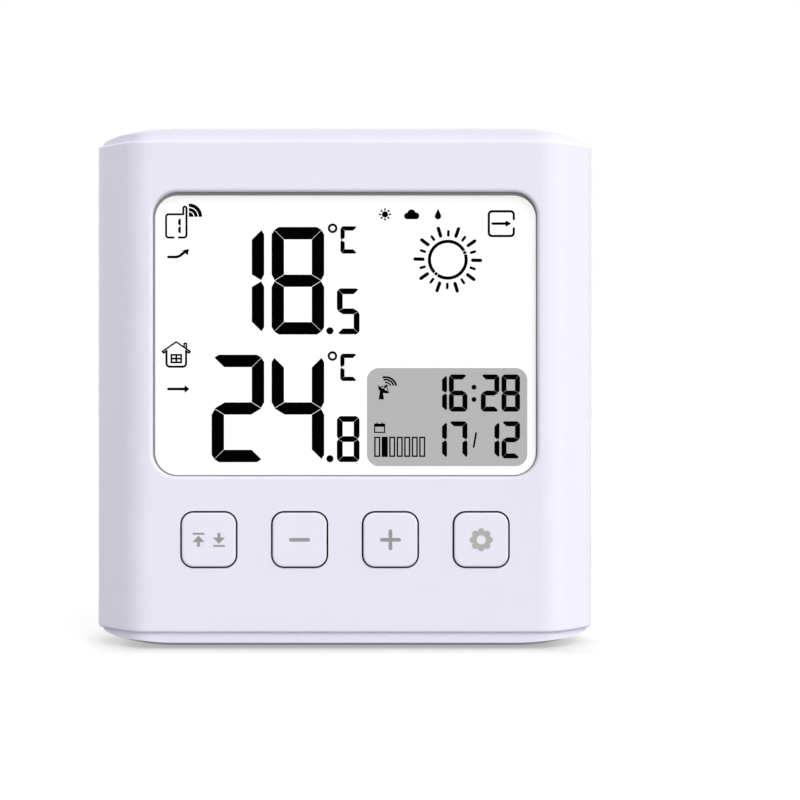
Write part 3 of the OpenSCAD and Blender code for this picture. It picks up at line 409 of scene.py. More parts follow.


# a finished piece, left at the origin and on its body
def newPiece(name, bm, material, body):
    bmesh.ops.recalc_face_normals(bm, faces=bm.faces)
    piece = meshObject(name, bm, material)
    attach(piece, body)
    return piece


# flat artwork, drawn in x and z and then raised towards the front
barEnd = {"round": 0.49, "steps": 4}
cornerSigns = ((-1, 1), (1, 1), (1, -1), (-1, -1))
boxCorners = (("left", "bottom"), ("right", "bottom"), ("right", "top"), ("left", "top"))
standUp = Matrix.Rotation(pi / 2, 4, "X")


def roundCorners(bm, corners, rounding, steps):
    bmesh.ops.bevel(bm, geom=corners, offset=rounding, affect="VERTICES", segments=steps, profile=0.5,
                    material=-1)


def insetFaces(bm, faces, width):
    return bmesh.ops.inset_region(bm, faces=faces, thickness=width, use_even_offset=True, use_boundary=True)


def outlineFace(bm, points, rounding=0.0, steps=1):
    face = bm.faces.new([bm.verts.new((x, 0, z)) for x, z in points])
    if rounding:
        roundCorners(bm, list(face.verts), rounding, steps)
    return face


# line along the inside of a closed outline
def boxLine(bm, corners, width):
    face = outlineFace(bm, corners)
    face.normal_update()
    insetFaces(bm, [face], width)
    bmesh.ops.delete(bm, geom=[face], context="FACES_ONLY")


def bar(bm, start, end, width, rounded=True):
    along = Vector((end[0] - start[0], end[1] - start[1]))
    side = Vector((-along.y, along.x)).normalized() * width / 2
    reach = along.normalized() * width / 2 if rounded else Vector((0, 0))
    a, b = Vector(start) - reach, Vector(end) + reach
    rounding = width * barEnd["round"] if rounded else 0
    outlineFace(bm, [a + side, a - side, b - side, b + side], rounding, barEnd["steps"])


def arcBand(bm, centre, inner, outer, start, end, steps):
    way = Vector((cos(radians(start)), 0, sin(radians(start))))
    middle = Vector((centre[0], 0, centre[1]))
    radial = [bm.verts.new(middle + way * radius) for radius in (inner, outer)]
    edge = bm.edges.new(radial)
    bmesh.ops.spin(bm, geom=[edge, *radial], cent=middle, axis=(0, -1, 0), angle=radians(end - start),
                   steps=steps, use_merge=end - start == 360)


def disc(bm, centre, radius, segments=24):
    place = Matrix.Translation((centre[0], 0, centre[1])) @ standUp
    bmesh.ops.create_circle(bm, cap_ends=True, radius=radius, segments=segments, matrix=place)


def raiseArt(bm, back, front):
    bmesh.ops.translate(bm, verts=bm.verts, vec=(0, back, 0))
    bmesh.ops.recalc_face_normals(bm, faces=bm.faces)
    raised = bmesh.ops.extrude_face_region(bm, geom=list(bm.faces), use_keep_orig=True)
    lifted = [item for item in raised["geom"] if isinstance(item, bmesh.types.BMVert)]
    bmesh.ops.translate(bm, verts=lifted, vec=(0, front - back, 0))


# the picture: the pixel of the object's middle, that point's height, and pixels for a metre at two depths
pictureLook = {"middle": (345.0, 386.6), "height": 0.0545, "frontScale": 4828.0, "displayScale": 4797.0}


# a length in pixels, and a pixel's place in x and z, on the plane of the display
def size(pixels):
    return pixels / pictureLook["displayScale"]


def at(px, pz):
    midX, midZ = pictureLook["middle"]
    return size(px - midX), pictureLook["height"] + size(midZ - pz)


# seven-segment figures: where the corners of the segments lie, for a figure of this stroke
segmentArt = {
    "stroke": 11.7, "outerEnd": 7.2, "tipIn": 2.4, "tipEnd": 3.3, "innerEnd": 12.5,
    "innerWaist": 6.4, "waistIn": 2.8, "waistEnd": 1.0, "outerWaist": 6.3,
    "levelIn": 2.9, "levelFall": 2.6, "levelEnd": 7.0, "levelInner": 12.3,
    "middleIn": 3.2, "middleEnd": 12.7, "middleHalf": 5.75,
}
segmentOf = {"1": "bc", "2": "abged", "4": "fgbc", "5": "afgcd", "6": "afgedc", "7": "abc", "8": "abcdefg",
             "C": "afed"}


# x and z are the figure's lower left corner
def figure(bm, sign, x, z, width, height, stroke):
    inset = {label: value * stroke / segmentArt["stroke"] for label, value in segmentArt.items()}
    waist = height / 2
    upright = [(0, height - inset["outerEnd"]), (inset["tipIn"], height - inset["tipEnd"]),
               (stroke, height - inset["innerEnd"]), (stroke, waist + inset["innerWaist"]),
               (inset["waistIn"], waist + inset["waistEnd"]), (0, waist + inset["outerWaist"])]
    level = [(inset["levelIn"], height - inset["levelFall"]), (inset["levelEnd"], height),
             (width - inset["levelEnd"], height), (width - inset["levelIn"], height - inset["levelFall"]),
             (width - inset["levelInner"], height - stroke), (inset["levelInner"], height - stroke)]
    near, far, half = inset["middleEnd"], width - inset["middleEnd"], inset["middleHalf"]
    middle = [(inset["middleIn"], waist), (near, waist - half), (far, waist - half),
              (width - inset["middleIn"], waist), (far, waist + half), (near, waist + half)]
    shapes = {
        "a": level, "d": [(px, height - pz) for px, pz in level], "g": middle,
        "f": upright, "e": [(px, height - pz) for px, pz in upright],
        "b": [(width - px, pz) for px, pz in upright],
        "c": [(width - px, height - pz) for px, pz in upright],
    }
    for segment in segmentOf[sign]:
        outlineFace(bm, [(x + px, z + pz) for px, pz in shapes[segment]])


# print on the display and the keys, a grey field with a painted glow, and a line of painted shade on the
# lens
inkLook = {
    "light": (0.0012, 0.0012, 0.0014, 1), "dark": (0.0006, 0.0006, 0.0007, 1), "rough": (0.6, 0.75),
    "bump": 0.0, "sockets": {"Specular IOR Level": 0.0},
}
# grey field: dark print with an added glow, painted light that evens out the shade of the window's lip
glowPanelLook = {
    "light": (0.125, 0.125, 0.126, 1), "dark": (0.115, 0.115, 0.116, 1), "rough": (0.55, 0.7), "bump": 0.02,
    "sockets": {"Specular IOR Level": 0.05, "Emission Color": (0.36, 0.36, 0.362, 1),
                "Emission Strength": 1.0},
}
legendLook = {
    "light": (0.325, 0.322, 0.330, 1), "dark": (0.298, 0.295, 0.303, 1), "rough": (0.5, 0.65), "bump": 0.05,
    "sockets": {"Specular IOR Level": 0.2},
}
gearLook = {
    "light": (0.448, 0.446, 0.436, 1), "dark": (0.418, 0.416, 0.407, 1), "rough": (0.5, 0.65), "bump": 0.05,
    "sockets": {"Specular IOR Level": 0.2},
}
# painted shade: grey for the line that darkens the display's edge under the window's lip
lipShadeLook = {
    "light": (0.250, 0.248, 0.265, 1), "dark": (0.225, 0.223, 0.240, 1), "rough": (0.5, 0.65), "bump": 0.03,
    "sockets": {"Specular IOR Level": 0.1},
}
displayInk = moulded("displayInk", inkLook)
glowPanelGrey = moulded("glowPanelGrey", glowPanelLook)
legendGrey = moulded("legendGrey", legendLook)
gearGrey = moulded("gearGrey", gearLook)
lipShadeGrey = moulded("lipShadeGrey", lipShadeLook)

# how far print lies in front of its surface: the back of a layer and its front
printLift = {"panel": (0.00001, 0.00004), "ink": (0.00001, 0.00006), "lens": (0.00001, 0.00003),
             "key": (0.000005, 0.00003)}


def printed(name, bm, layer, surface, material, body):
    back, front = printLift[layer]
    raiseArt(bm, surface - back, surface - front)
    newPiece(name, bm, material, body)


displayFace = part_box("front_polariser")[0].y


def inked(name, bm):
    printed(name, bm, "ink", displayFace, displayInk, "casing")


# the ink's spread around the strokes
def bled(bm, faces, reach):
    bm.normal_update()
    rims = insetFaces(bm, faces, -size(reach))
    bmesh.ops.delete(bm, geom=rims["faces"], context="FACES")


# thin dark line on the lens along the window's edge: painted shade where the lip shades the display, wider
# at the top as the painted shadow of the upper lip
lipShadeArt = {"width": 0.0799, "height": 0.0592, "corner": 0.0051, "cornerSteps": 12, "line": 0.00045,
            "topShadowBand": 0.0003, "shift": (0.0001, 0, -0.0001)}


def drawLipShade():
    low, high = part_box("display_lens")
    bm = bmesh.new()
    bmesh.ops.create_grid(bm, x_segments=1, y_segments=1, size=0.5, matrix=standUp)
    bmesh.ops.scale(bm, verts=bm.verts, vec=(lipShadeArt["width"], 1, lipShadeArt["height"]))
    roundCorners(bm, bm.verts[:], lipShadeArt["corner"], lipShadeArt["cornerSteps"])
    middle = bm.faces[:]
    insetFaces(bm, middle, lipShadeArt["line"])
    upper = [vert for vert in middle[0].verts if vert.co.z > 0]
    bmesh.ops.translate(bm, verts=upper, vec=(0, 0, -lipShadeArt["topShadowBand"]))
    bmesh.ops.delete(bm, geom=middle, context="FACES_ONLY")
    centre = Vector((0, 0, (low.z + high.z) / 2))
    bmesh.ops.translate(bm, verts=bm.verts, vec=centre + Vector(lipShadeArt["shift"]))
    printed("lipShadeLine", bm, "lens", low.y, lipShadeGrey, "casing")


# outdoor temperature above, indoor temperature below
temperatureArt = {
    "large": [("1", 211.9, 334.2), ("8", 271.9, 334.2), ("2", 211.9, 461.9), ("4", 271.9, 461.9)],
    "largeSize": (52.0, 106.9, 11.8), "largeBleed": 0.30,
    "small": [("5", 337.0, 334.2), ("8", 337.0, 461.9)], "smallSize": (22.4, 45.7, 5.55), "smallBleed": 0.13,
    "unit": [("C", 340.6, 253.5), ("C", 340.4, 380.9)], "unitSize": (16.7, 27.1, 4.05), "unitBleed": 0.13,
    "points": [(329.9, 330.8), (329.9, 458.7)], "pointRadius": 3.6,
    "rings": [(332.6, 228.3), (332.4, 356.0)], "ringRadii": (2.55, 4.85), "ringSteps": 32,
}


def drawTemperatures():
    art = temperatureArt
    bm = bmesh.new()
    for kind in ("large", "small", "unit"):
        earlier = set(bm.faces)
        for sign, px, pz in art[kind]:
            figure(bm, sign, *at(px, pz), *(size(value) for value in art[kind + "Size"]))
        bled(bm, [face for face in bm.faces if face not in earlier], art[kind + "Bleed"])
    for point in art["points"]:
        disc(bm, at(*point), size(art["pointRadius"]))
    for ring in art["rings"]:
        arcBand(bm, at(*ring), *(size(radius) for radius in art["ringRadii"]), 0, 360, art["ringSteps"])
    inked("temperatureFigures", bm)


# grey field under the clock and the date, printed grey with a painted glow that keeps it even in the lip's
# shade
clockField = {"left": 366.9, "right": 527.3, "top": 368.0, "bottom": 466.2, "corner": 12.0,
              "cornerSteps": 10}


def drawClockField():
    bm = bmesh.new()
    box = [at(clockField[a], clockField[b]) for a, b in boxCorners]
    outlineFace(bm, box, size(clockField["corner"]), clockField["cornerSteps"])
    printed("clockField", bm, "panel", displayFace, glowPanelGrey, "casing")


# time above, date below, with a box for each day of the week under a small calendar page
clockArt = {
    "figures": [("1", 428.6, 411.5), ("6", 449.0, 411.5), ("2", 480.9, 411.5), ("8", 501.6, 411.5),
                ("1", 428.6, 458.3), ("7", 449.0, 458.3), ("1", 481.0, 458.3), ("2", 501.6, 458.3)],
    "figureSize": (18.3, 36.9, 4.75), "bleed": 0.12,
    "points": [(474.0, 387.2), (474.0, 399.5)], "pointRadius": 2.5,
    "stroke": ((476.1, 433.0), (473.7, 447.0)), "strokeLine": 1.9,
    "days": {"count": 7, "today": 1, "first": 377.2, "pitch": 7.5, "z": 446.8, "half": (3.05, 10.15),
             "line": 1.5},
    "page": {"left": 374.0, "right": 385.2, "top": 423.6, "bottom": 433.0, "line": 1.2, "head": 3.2,
             "ringIn": 3.0, "ringUp": 0.8},
}


def drawDays(bm, days):
    across, up = days["half"]
    for day in range(days["count"]):
        px = days["first"] + day * days["pitch"]
        box = [at(px + a * across, days["z"] + b * up) for a, b in cornerSigns]
        if day == days["today"]:
            outlineFace(bm, box)
        else:
            boxLine(bm, box, size(days["line"]))


def drawPage(bm, page):
    box = [at(page[a], page[b]) for a, b in boxCorners]
    boxLine(bm, box, size(page["line"]))
    headLine = page["top"] + page["head"]
    outlineFace(bm, [at(page["left"], headLine), at(page["right"], headLine), *box[2:]])
    for px in (page["left"] + page["ringIn"], page["right"] - page["ringIn"]):
        ring = at(px, page["top"] - page["ringUp"]), at(px, page["top"] + page["line"] / 2)
        bar(bm, *ring, size(page["line"]))


def drawClock():
    art = clockArt
    bm = bmesh.new()
    for sign, px, pz in art["figures"]:
        figure(bm, sign, *at(px, pz), *(size(value) for value in art["figureSize"]))
    bled(bm, bm.faces[:], art["bleed"])
    for point in art["points"]:
        disc(bm, at(*point), size(art["pointRadius"]))
    bar(bm, *(at(*end) for end in art["stroke"]), size(art["strokeLine"]))
    drawDays(bm, art["days"])
    drawPage(bm, art["page"])
    inked("clockFigures", bm)


# symbols: paths of straight strokes, bends that round their corners, and arrow heads
symbolBleed = 0.22
bendSteps = 8


def bend(bm, centre, radius, start, end, line):
    arcBand(bm, at(*centre), size(radius - line / 2), size(radius + line / 2), start, end, bendSteps)


def strokes(bm, art):
    line = art["line"]
    for points in art["paths"]:
        for start, end in zip(points, points[1:]):
            bar(bm, at(*start), at(*end), size(line))
    for corner in art.get("bends", []):
        bend(bm, *corner, line)
    for head in art.get("heads", []):
        outlineFace(bm, [at(*point) for point in head])


def rays(bm, centre, count, turned, looks):
    middle = Vector(at(*centre))
    for ray in range(count):
        near, far, width = looks[ray % len(looks)]
        turn = ray * 2 * pi / count + radians(turned)
        way = Vector((cos(turn), sin(turn)))
        bar(bm, middle + way * size(near), middle + way * size(far), size(width))


sunArt = {
    "centre": (447.8, 259.7), "ring": (16.95, 19.78), "ringSteps": 40,
    "arcs": [(30.15, 222.85), (226.15, 234.05), (237.35, 375.65), (18.95, 26.85)],
    "rays": 20, "rayTurn": -1.2, "longRay": (24.9, 32.7, 3.05), "shortRay": (24.3, 28.3, 2.25),
}


def drawSun(bm, art):
    inner, outer = (size(radius) for radius in art["ring"])
    for start, end in art["arcs"]:
        arcBand(bm, at(*art["centre"]), inner, outer, start, end, art["ringSteps"])
    rays(bm, art["centre"], art["rays"], art["rayTurn"], [art["longRay"], art["shortRay"]])


# outdoor sensor with its rod aerial, its number and its signal
sensorArt = {
    "line": 1.6,
    "paths": [[(183.2, 214.3), (168.6, 214.3)], [(166.1, 216.8), (166.1, 235.0)],
              [(168.6, 237.5), (173.6, 237.5)], [(178.9, 237.5), (184.0, 237.5)],
              [(186.5, 235.0), (186.5, 208.2)], [(183.3, 208.2), (183.3, 214.3)]],
    "bends": [((168.6, 216.8), 2.5, 90, 180), ((168.6, 235.0), 2.5, 180, 270),
              ((184.0, 235.0), 2.5, 270, 360), ((184.9, 208.2), 1.6, 0, 180)],
    "numeral": [(225.6, 218.7), (233.2, 226.3)], "numeralSides": (178.4, 180.6), "taper": 1.6, "corner": 0.5,
    "signalFrom": (189.1, 216.6), "signal": [(0.3, 4.2), (5.6, 8.4), (9.8, 12.9)], "signalArc": (0, 90),
    "signalSteps": 12,
}


def drawSensor(bm, art):
    strokes(bm, art)
    left, right = art["numeralSides"]
    shoulder, taper, corner = right - art["corner"], art["taper"], art["corner"]
    for low, high in art["numeral"]:
        outline = [(left, low - taper), (shoulder, low), (right, low - corner), (right, high + corner),
                   (shoulder, high), (left, high + taper)]
        outlineFace(bm, [at(*point) for point in outline])
    for near, far in art["signal"]:
        arcBand(bm, at(*art["signalFrom"]), size(near), size(far), *art["signalArc"], art["signalSteps"])


# window in the house
windowArt = {"line": 1.4, "left": 170.7, "right": 181.9, "top": 354.1, "bottom": 363.1}


def drawWindow(bm, art):
    line = art["line"]
    midX, midZ = (art["left"] + art["right"]) / 2, (art["top"] + art["bottom"]) / 2
    inset = line / 2
    boxLine(bm, [at(art[a], art[b]) for a, b in boxCorners], size(line))
    for start, end in (((midX, art["top"] + inset), (midX, art["bottom"] - inset)),
                       ((art["left"] + inset, midZ), (art["right"] - inset, midZ))):
        bar(bm, at(*start), at(*end), size(line), rounded=False)


# dish of the time signal
dishArt = {
    "foot": [(378.9, 399.2), (383.6, 399.2), (382.8, 392.4), (380.2, 391.0)],
    "bowl": [(378.0, 385.7), (379.0, 389.3), (380.3, 391.3), (383.3, 392.7), (386.7, 393.3), (389.1, 392.4),
             (387.3, 391.3), (384.7, 390.0), (382.0, 388.3), (380.0, 387.0)],
    "stays": [((383.4, 389.2), (385.2, 387.0), 0.9), ((385.3, 386.9), (386.9, 385.5), 1.6),
              ((380.4, 386.9), (384.8, 385.8), 0.4), ((388.2, 391.0), (387.3, 387.4), 0.4)],
    "signalFrom": (385.6, 388.0), "signal": [(5.6, 25, 94, 1.0), (8.4, 19, 102, 1.3), (10.9, 14, 105, 1.5)],
}


def drawDish(bm, art):
    for outline in (art["foot"], art["bowl"]):
        outlineFace(bm, [at(*point) for point in outline])
    for start, end, line in art["stays"]:
        bar(bm, at(*start), at(*end), size(line))
    for radius, start, end, line in art["signal"]:
        bend(bm, art["signalFrom"], radius, start, end, line)


# trends, house, and memory box with its arrow
trendArt = {
    "line": 2.2,
    "paths": [[(168.4, 257.0), (176.4, 257.0), (179.6, 256.0), (182.2, 254.0), (185.4, 251.2)],
              [(168.4, 389.0), (184.6, 389.0)]],
    "heads": [[(188.8, 249.2), (183.0, 250.4), (187.6, 255.0)],
              [(189.2, 389.0), (184.8, 385.6), (184.8, 392.4)]],
}
roofArt = {
    "line": 1.2,
    "paths": [[(166.9, 350.7), (163.6, 352.9), (162.4, 351.5), (176.2, 341.9), (190.2, 351.5),
               (189.0, 352.9), (185.7, 350.7)],
              [(184.2, 346.6), (184.2, 343.4), (186.4, 343.4), (186.4, 348.2)]],
}
wallArt = {
    "line": 1.7,
    "paths": [[(166.5, 351.2), (166.5, 363.4)], [(169.8, 366.7), (182.8, 366.7)],
              [(186.1, 363.4), (186.1, 351.2)]],
    "bends": [((169.8, 363.4), 3.3, 180, 270), ((182.8, 363.4), 3.3, 270, 360)],
}
memoryArt = {
    "line": 1.9,
    "paths": [[(513.8, 219.0), (513.8, 214.6)], [(510.5, 211.3), (492.1, 211.3)],
              [(488.8, 214.6), (488.8, 232.7)], [(492.1, 236.0), (510.5, 236.0)],
              [(513.8, 232.7), (513.8, 228.4)]],
    "bends": [((510.5, 214.6), 3.3, 0, 90), ((492.1, 214.6), 3.3, 90, 180),
              ((492.1, 232.7), 3.3, 180, 270), ((510.5, 232.7), 3.3, 270, 360)],
}
memoryArrow = {"line": 2.1, "paths": [[(492.6, 223.6), (506.4, 223.6)]],
               "heads": [[(510.9, 223.6), (505.9, 220.8), (505.9, 226.4)]]}


def drawSymbols():
    bm = bmesh.new()
    drawSun(bm, sunArt)
    drawSensor(bm, sensorArt)
    for art in (trendArt, roofArt, wallArt):
        strokes(bm, art)
    drawWindow(bm, windowArt)
    for art in (memoryArt, memoryArrow):
        strokes(bm, art)
    drawDish(bm, dishArt)
    bled(bm, bm.faces[:], symbolBleed)
    inked("displaySymbols", bm)


# weather row above the sun: small sun, cloud and drop
weatherRow = {
    "z": 214.4, "bleed": 0.22,
    "sun": {"x": 385.0, "radius": 2.9, "rays": 8, "ray": (4.4, 5.4, 1.2)},
    "cloud": {"x": 411.5, "puffs": [(-4.2, 1.6, 3.0), (0.0, -0.8, 4.0), (4.4, 1.4, 3.2)],
              "left": -4.2, "right": 4.4, "top": 0.6, "bottom": 4.6},
    "drop": {"x": 438.0, "fall": 1.8, "radius": 3.0, "half": 2.8, "shoulder": 0.8, "tip": 5.4},
}


def drawWeatherRow():
    z, sun, cloud, drop = (weatherRow[part] for part in ("z", "sun", "cloud", "drop"))
    bm = bmesh.new()
    disc(bm, at(sun["x"], z), size(sun["radius"]))
    rays(bm, (sun["x"], z), sun["rays"], 0, [sun["ray"]])
    for across, down, radius in cloud["puffs"]:
        disc(bm, at(cloud["x"] + across, z + down), size(radius))
    outlineFace(bm, [at(cloud["x"] + cloud[a], z + cloud[b]) for a, b in boxCorners])
    disc(bm, at(drop["x"], z + drop["fall"]), size(drop["radius"]))
    shoulders = [at(drop["x"] + way * drop["half"], z + drop["shoulder"]) for way in (-1, 1)]
    outlineFace(bm, [*shoulders, at(drop["x"], z - drop["tip"])])
    bled(bm, bm.faces[:], weatherRow["bleed"])
    inked("weatherRow", bm)


drawLipShade()
drawTemperatures()
drawClockField()
drawClock()
drawSymbols()
drawWeatherRow()
print("display drawn")

# printed legends on the keys, lengths in pixels at the front
legendArt = {
    "bar": 3.6, "reach": 8.7, "tipRound": 0.98, "tipSteps": 5,
    "gearValley": 8.9, "gearLobe": 2.7, "gearHole": 4.6, "gearTeeth": 8, "gearPower": 0.75, "gearSteps": 160,
    "arrowApart": 10.2, "arrowHead": (6.0, 6.4), "arrowStem": (2.9, 4.6), "arrowBar": 1.9,
    "arrowSpan": 1.6, "arrowDrop": 1.5,
}
legendUnit = 1 / pictureLook["frontScale"]


def legend(name, keyName, draw, material):
    low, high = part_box(keyName)
    art = bmesh.new()
    draw(art, legendUnit)
    bmesh.ops.translate(art, verts=art.verts, vec=((low.x + high.x) / 2, 0, (low.z + high.z) / 2))
    printed(name, art, "key", low.y, material, keyName)


def minusSign(art, unit):
    reach = legendArt["reach"] * unit
    bar(art, (-reach, 0), (reach, 0), legendArt["bar"] * unit)


def plusSign(art, unit):
    half = legendArt["bar"] / 2 * unit
    reach = legendArt["reach"] * unit + half
    corners = [(half, half), (half, reach), (-half, reach)]
    face = art.faces.new([art.verts.new((x * cos(a) - z * sin(a), 0, x * sin(a) + z * cos(a)))
                          for a in (0, pi / 2, pi, 3 * pi / 2) for x, z in corners])
    tips = [vert for vert in face.verts if vert.co.length > reach]
    roundCorners(art, tips, half * legendArt["tipRound"], legendArt["tipSteps"])


def gearSign(art, unit):
    teeth, power = legendArt["gearTeeth"], legendArt["gearPower"]
    for radius, lobe in ((legendArt["gearValley"], legendArt["gearLobe"]), (legendArt["gearHole"], 0)):
        loop = bmesh.ops.create_circle(art, cap_ends=False, radius=radius * unit,
                                       segments=legendArt["gearSteps"], matrix=standUp)
        for vert in loop["verts"]:
            wave = abs(cos(teeth / 2 * atan2(vert.co.z, vert.co.x))) ** power
            stretch = 1 + lobe * wave / radius
            vert.co.x *= stretch
            vert.co.z *= stretch
    bmesh.ops.bridge_loops(art, edges=art.edges)


# highest and lowest reading: an arrow up to a bar and an arrow down to a bar
def highLowSign(art, unit):
    headHalf, headHeight = (value * unit for value in legendArt["arrowHead"])
    stem, stemHeight = (value * unit for value in legendArt["arrowStem"])
    thick = legendArt["arrowBar"] * unit
    top = (headHeight + stemHeight + legendArt["arrowSpan"] * thick) / 2
    tip = top - legendArt["arrowDrop"] * thick
    base = tip - headHeight
    foot = base - stemHeight
    outline = [(0, tip), (-headHalf, base), (-stem / 2, base), (-stem / 2, foot), (stem / 2, foot),
               (stem / 2, base), (headHalf, base)]
    reach = headHalf - thick / 2
    for way in (1, -1):
        x = -way * legendArt["arrowApart"] * unit
        level = way * (top - thick / 2)
        bar(art, (x - reach, level), (x + reach, level), thick)
        outlineFace(art, [(x + a, way * b) for a, b in outline][::way])


legend("minusLegend", "minus_key", minusSign, legendGrey)
legend("plusLegend", "plus_key", plusSign, legendGrey)
legend("settingsLegend", "settings_key", gearSign, gearGrey)
legend("memoryLegend", "memory_key", highLowSign, legendGrey)
print("key legends printed")

# wound wire: a ring of wire spun up its axis, with a closed turn at each end
springLook = {"wire": 0.00028, "base": 0.0034, "tip": 0.0024, "turns": 4, "steps": 36, "sides": 12}
aerialLook = {"wire": 0.0003, "base": 0.0022, "tip": 0.0022, "turns": 9, "steps": 32, "sides": 12}


def woundWire(bm, look, length, place):
    wire, base, tip = look["wire"], look["base"], look["tip"]
    rise = length - 2 * wire
    coil = bmesh.new()
    for start, climb, turns in ((wire, 0, 1), (wire, rise, look["turns"]), (wire + rise, 0, 1)):
        ring = bmesh.ops.create_circle(coil, cap_ends=False, radius=wire, segments=look["sides"],
                                       matrix=Matrix.Translation((base, 0, start)) @ standUp)
        edges = {edge for vert in ring["verts"] for edge in vert.link_edges}
        count = look["steps"] * turns
        bmesh.ops.spin(coil, geom=[*ring["verts"], *edges], cent=(0, 0, 0), axis=(0, 0, 1),
                       angle=2 * pi * turns, steps=count, dvec=(0, 0, climb / count), use_merge=climb == 0)
    bmesh.ops.holes_fill(coil, edges=[edge for edge in coil.edges if edge.is_boundary])
    for vert in coil.verts:  # the coil narrows towards its tip
        out = Vector((vert.co.x, vert.co.y, 0))
        vert.co -= out.normalized() * (base - tip) * min(max((vert.co.z - wire) / rise, 0), 1)
    bmesh.ops.transform(coil, matrix=place, verts=coil.verts)
    bmesh.ops.recalc_face_normals(coil, faces=coil.faces)
    shape = bpy.data.meshes.new("coil")
    coil.to_mesh(shape)
    coil.free()
    bm.from_mesh(shape)
    bpy.data.meshes.remove(shape)


def windPiece(name, bm, material, node):
    for face in bm.faces:
        face.smooth = True
    piece = newPiece(name, bm, material, "casing")
    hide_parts(node)


def windSprings():
    bm = bmesh.new()
    springLow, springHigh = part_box("battery_springs")
    ends = (("upper_cell", springLow.x, pi / 2), ("lower_cell", springHigh.x, -pi / 2))
    for cellName, startX, turn in ends:
        cellLow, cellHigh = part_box(cellName)
        gap = abs((cellLow.x if turn > 0 else cellHigh.x) - startX)
        middle = (cellLow + cellHigh) / 2
        place = Matrix.Translation((startX, middle.y, middle.z)) @ Matrix.Rotation(turn, 4, "Y")
        woundWire(bm, springLook, gap, place)
    windPiece("batterySprings", bm, nickel, "battery_springs")


def windAerial():
    bm = bmesh.new()
    low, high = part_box("receiver_aerial")
    place = Matrix.Translation(((low.x + high.x) / 2, (low.y + high.y) / 2, low.z))
    woundWire(bm, aerialLook, high.z - low.z, place)
    windPiece("receiverAerial", bm, copper, "receiver_aerial")


windSprings()
windAerial()
print("wire wound")


# rays that show the background: straight from the camera, mirrored or through glass
def seenRays(tree):
    rayKinds = addNode(tree, "ShaderNodeLightPath")
    direct = addNode(tree, "ShaderNodeMath", operation="MAXIMUM")
    anyRay = addNode(tree, "ShaderNodeMath", operation="MAXIMUM")
    join(tree, rayKinds.outputs["Is Camera Ray"], direct.inputs[0])
    join(tree, rayKinds.outputs["Is Glossy Ray"], direct.inputs[1])
    join(tree, direct.outputs["Value"], anyRay.inputs[0])
    join(tree, rayKinds.outputs["Is Transmission Ray"], anyRay.inputs[1])
    return anyRay.outputs["Value"]


# pale floor: plain white away from the object; under and close to it the real soft shadow stays, and the
# seen brightness is turned down there as painted shade
floorLook = {"half": 3.0, "color": (0.44, 0.44, 0.44, 1), "rough": 0.9, "foot": (0.0435, 0.0130, 0.0),
             "corner": 0.006, "reach": (-0.001, 0.014), "shadeLift": (0.40, 0.66)}


def makeFloorPaper():
    material = bpy.data.materials.new("floorPaper")
    material.use_nodes = True
    tree = material.node_tree
    shader = tree.nodes["Principled BSDF"]
    shader.inputs["Base Color"].default_value = floorLook["color"]
    shader.inputs["Roughness"].default_value = floorLook["rough"]
    shader.inputs["Specular IOR Level"].default_value = 0.0
    shader.inputs["Emission Color"].default_value = (1, 1, 1, 1)
    away = addNode(tree, "ShaderNodeVectorMath", operation="ABSOLUTE")
    join(tree, objectPlace(tree), away.inputs[0])
    past = addNode(tree, "ShaderNodeVectorMath", operation="SUBTRACT")
    join(tree, away.outputs["Vector"], past.inputs[0])
    past.inputs[1].default_value = floorLook["foot"]
    sides = addNode(tree, "ShaderNodeSeparateXYZ")
    join(tree, past.outputs["Vector"], sides.inputs["Vector"])
    far = addNode(tree, "ShaderNodeMath", operation="SMOOTH_MAX")
    far.inputs[2].default_value = floorLook["corner"]
    join(tree, sides.outputs["X"], far.inputs[0])
    join(tree, sides.outputs["Y"], far.inputs[1])
    # painted shade: less seen brightness the nearer the object's foot
    footShadeFade = addNode(tree, "ShaderNodeMapRange")
    footShadeFade.inputs["From Min"].default_value, footShadeFade.inputs["From Max"].default_value = floorLook["reach"]
    footShadeFade.inputs["To Min"].default_value, footShadeFade.inputs["To Max"].default_value = floorLook["shadeLift"]
    join(tree, far.outputs["Value"], footShadeFade.inputs["Value"])
    seen = addNode(tree, "ShaderNodeMath", operation="MULTIPLY")
    join(tree, seenRays(tree), seen.inputs[0])
    join(tree, footShadeFade.outputs["Result"], seen.inputs[1])
    join(tree, seen.outputs["Value"], shader.inputs["Emission Strength"])
    return material


def makeFloor():
    bm = bmesh.new()
    bmesh.ops.create_grid(bm, x_segments=1, y_segments=1, size=floorLook["half"])
    floor = meshObject("floor", bm, makeFloorPaper())


# the world lights the object at one strength and shows as white
worldLook = {"lit": 0.36, "seen": 1.0}


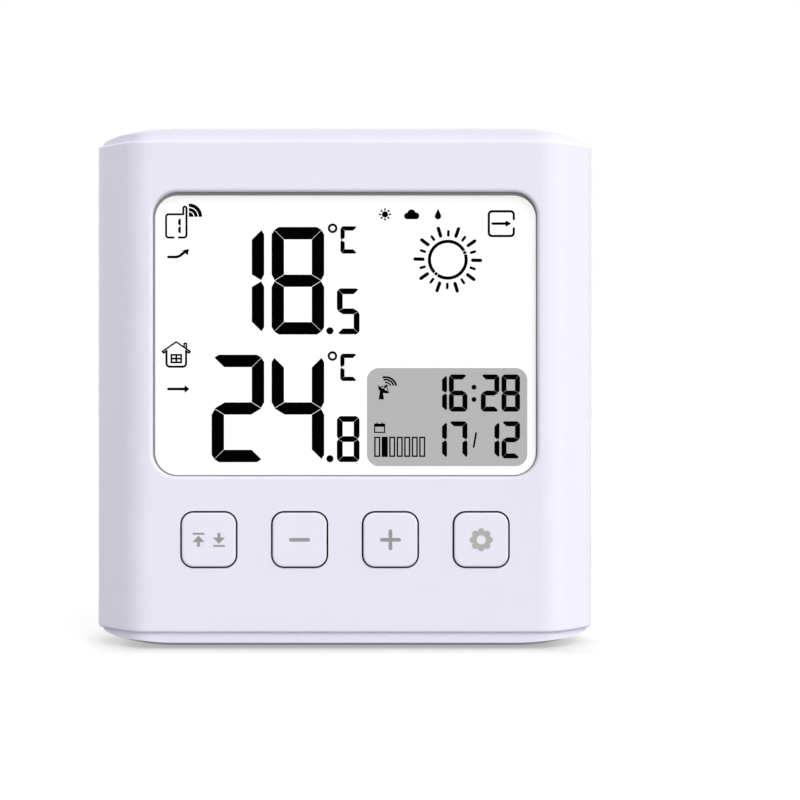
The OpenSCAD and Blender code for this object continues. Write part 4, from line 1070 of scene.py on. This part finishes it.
def makeWorld():
    world = bpy.data.worlds.new("studio")
    scene.world = world
    world.use_nodes = True
    tree = world.node_tree
    tree.nodes.clear()
    lit = addNode(tree, "ShaderNodeBackground", Color=(1, 1, 1, 1), Strength=worldLook["lit"])
    seen = addNode(tree, "ShaderNodeBackground", Color=(1, 1, 1, 1), Strength=worldLook["seen"])
    mix = addNode(tree, "ShaderNodeMixShader")
    join(tree, seenRays(tree), mix.inputs["Fac"])
    join(tree, lit.outputs["Background"], mix.inputs[1])
    join(tree, seen.outputs["Background"], mix.inputs[2])
    output = addNode(tree, "ShaderNodeOutputWorld")
    join(tree, mix.outputs["Shader"], output.inputs["Surface"])


# three wide lamps: from the front, from the right, and from behind on the left
lampLook = {
    "frontBox": {"from": (0.19, -0.862, 0.47), "strength": 1.35, "angle": 50, "color": (1, 1, 1)},
    "rightBox": {"from": (0.81, -0.43, 0.39), "strength": 2.07, "angle": 95, "color": (1, 1, 0.88)},
    "leftBox": {"from": (-0.79, 0.61, 0.10), "strength": 2.06, "angle": 70, "color": (1, 1, 1)},
}


def makeLamps():
    for name, look in lampLook.items():
        lamp = bpy.data.lights.new(name, "SUN")
        lamp.energy = look["strength"]
        lamp.color = look["color"]
        lamp.angle = radians(look["angle"])
        holder = bpy.data.objects.new(name, lamp)
        holder.rotation_euler = Vector(look["from"]).to_track_quat("Z", "Y").to_euler()
        scene.collection.objects.link(holder)


# level camera before the object's middle, shifted so that the object lies where the picture has it
cameraLook = {"y": -0.4758, "front": -0.0128, "sensor": 36.0, "near": 0.01, "picture": 800}


def makeCamera():
    look = cameraLook
    camera = bpy.data.cameras.new("camera")
    camera.sensor_width = look["sensor"]
    distance = look["front"] - look["y"]
    camera.lens = pictureLook["frontScale"] * distance * look["sensor"] / look["picture"]
    half = look["picture"] / 2
    midX, midZ = pictureLook["middle"]
    camera.shift_x = (half - midX) / look["picture"]
    camera.shift_y = (midZ - half) / look["picture"]
    camera.clip_start = look["near"]
    holder = bpy.data.objects.new("camera", camera)
    holder.location = (0, look["y"], pictureLook["height"])
    holder.rotation_euler = (pi / 2, 0, 0)
    scene.collection.objects.link(holder)
    scene.camera = holder


makeFloor()
makeWorld()
makeLamps()
makeCamera()
scene.view_settings.view_transform = "Standard"
print("stage set")

bpy.context.view_layer.update()
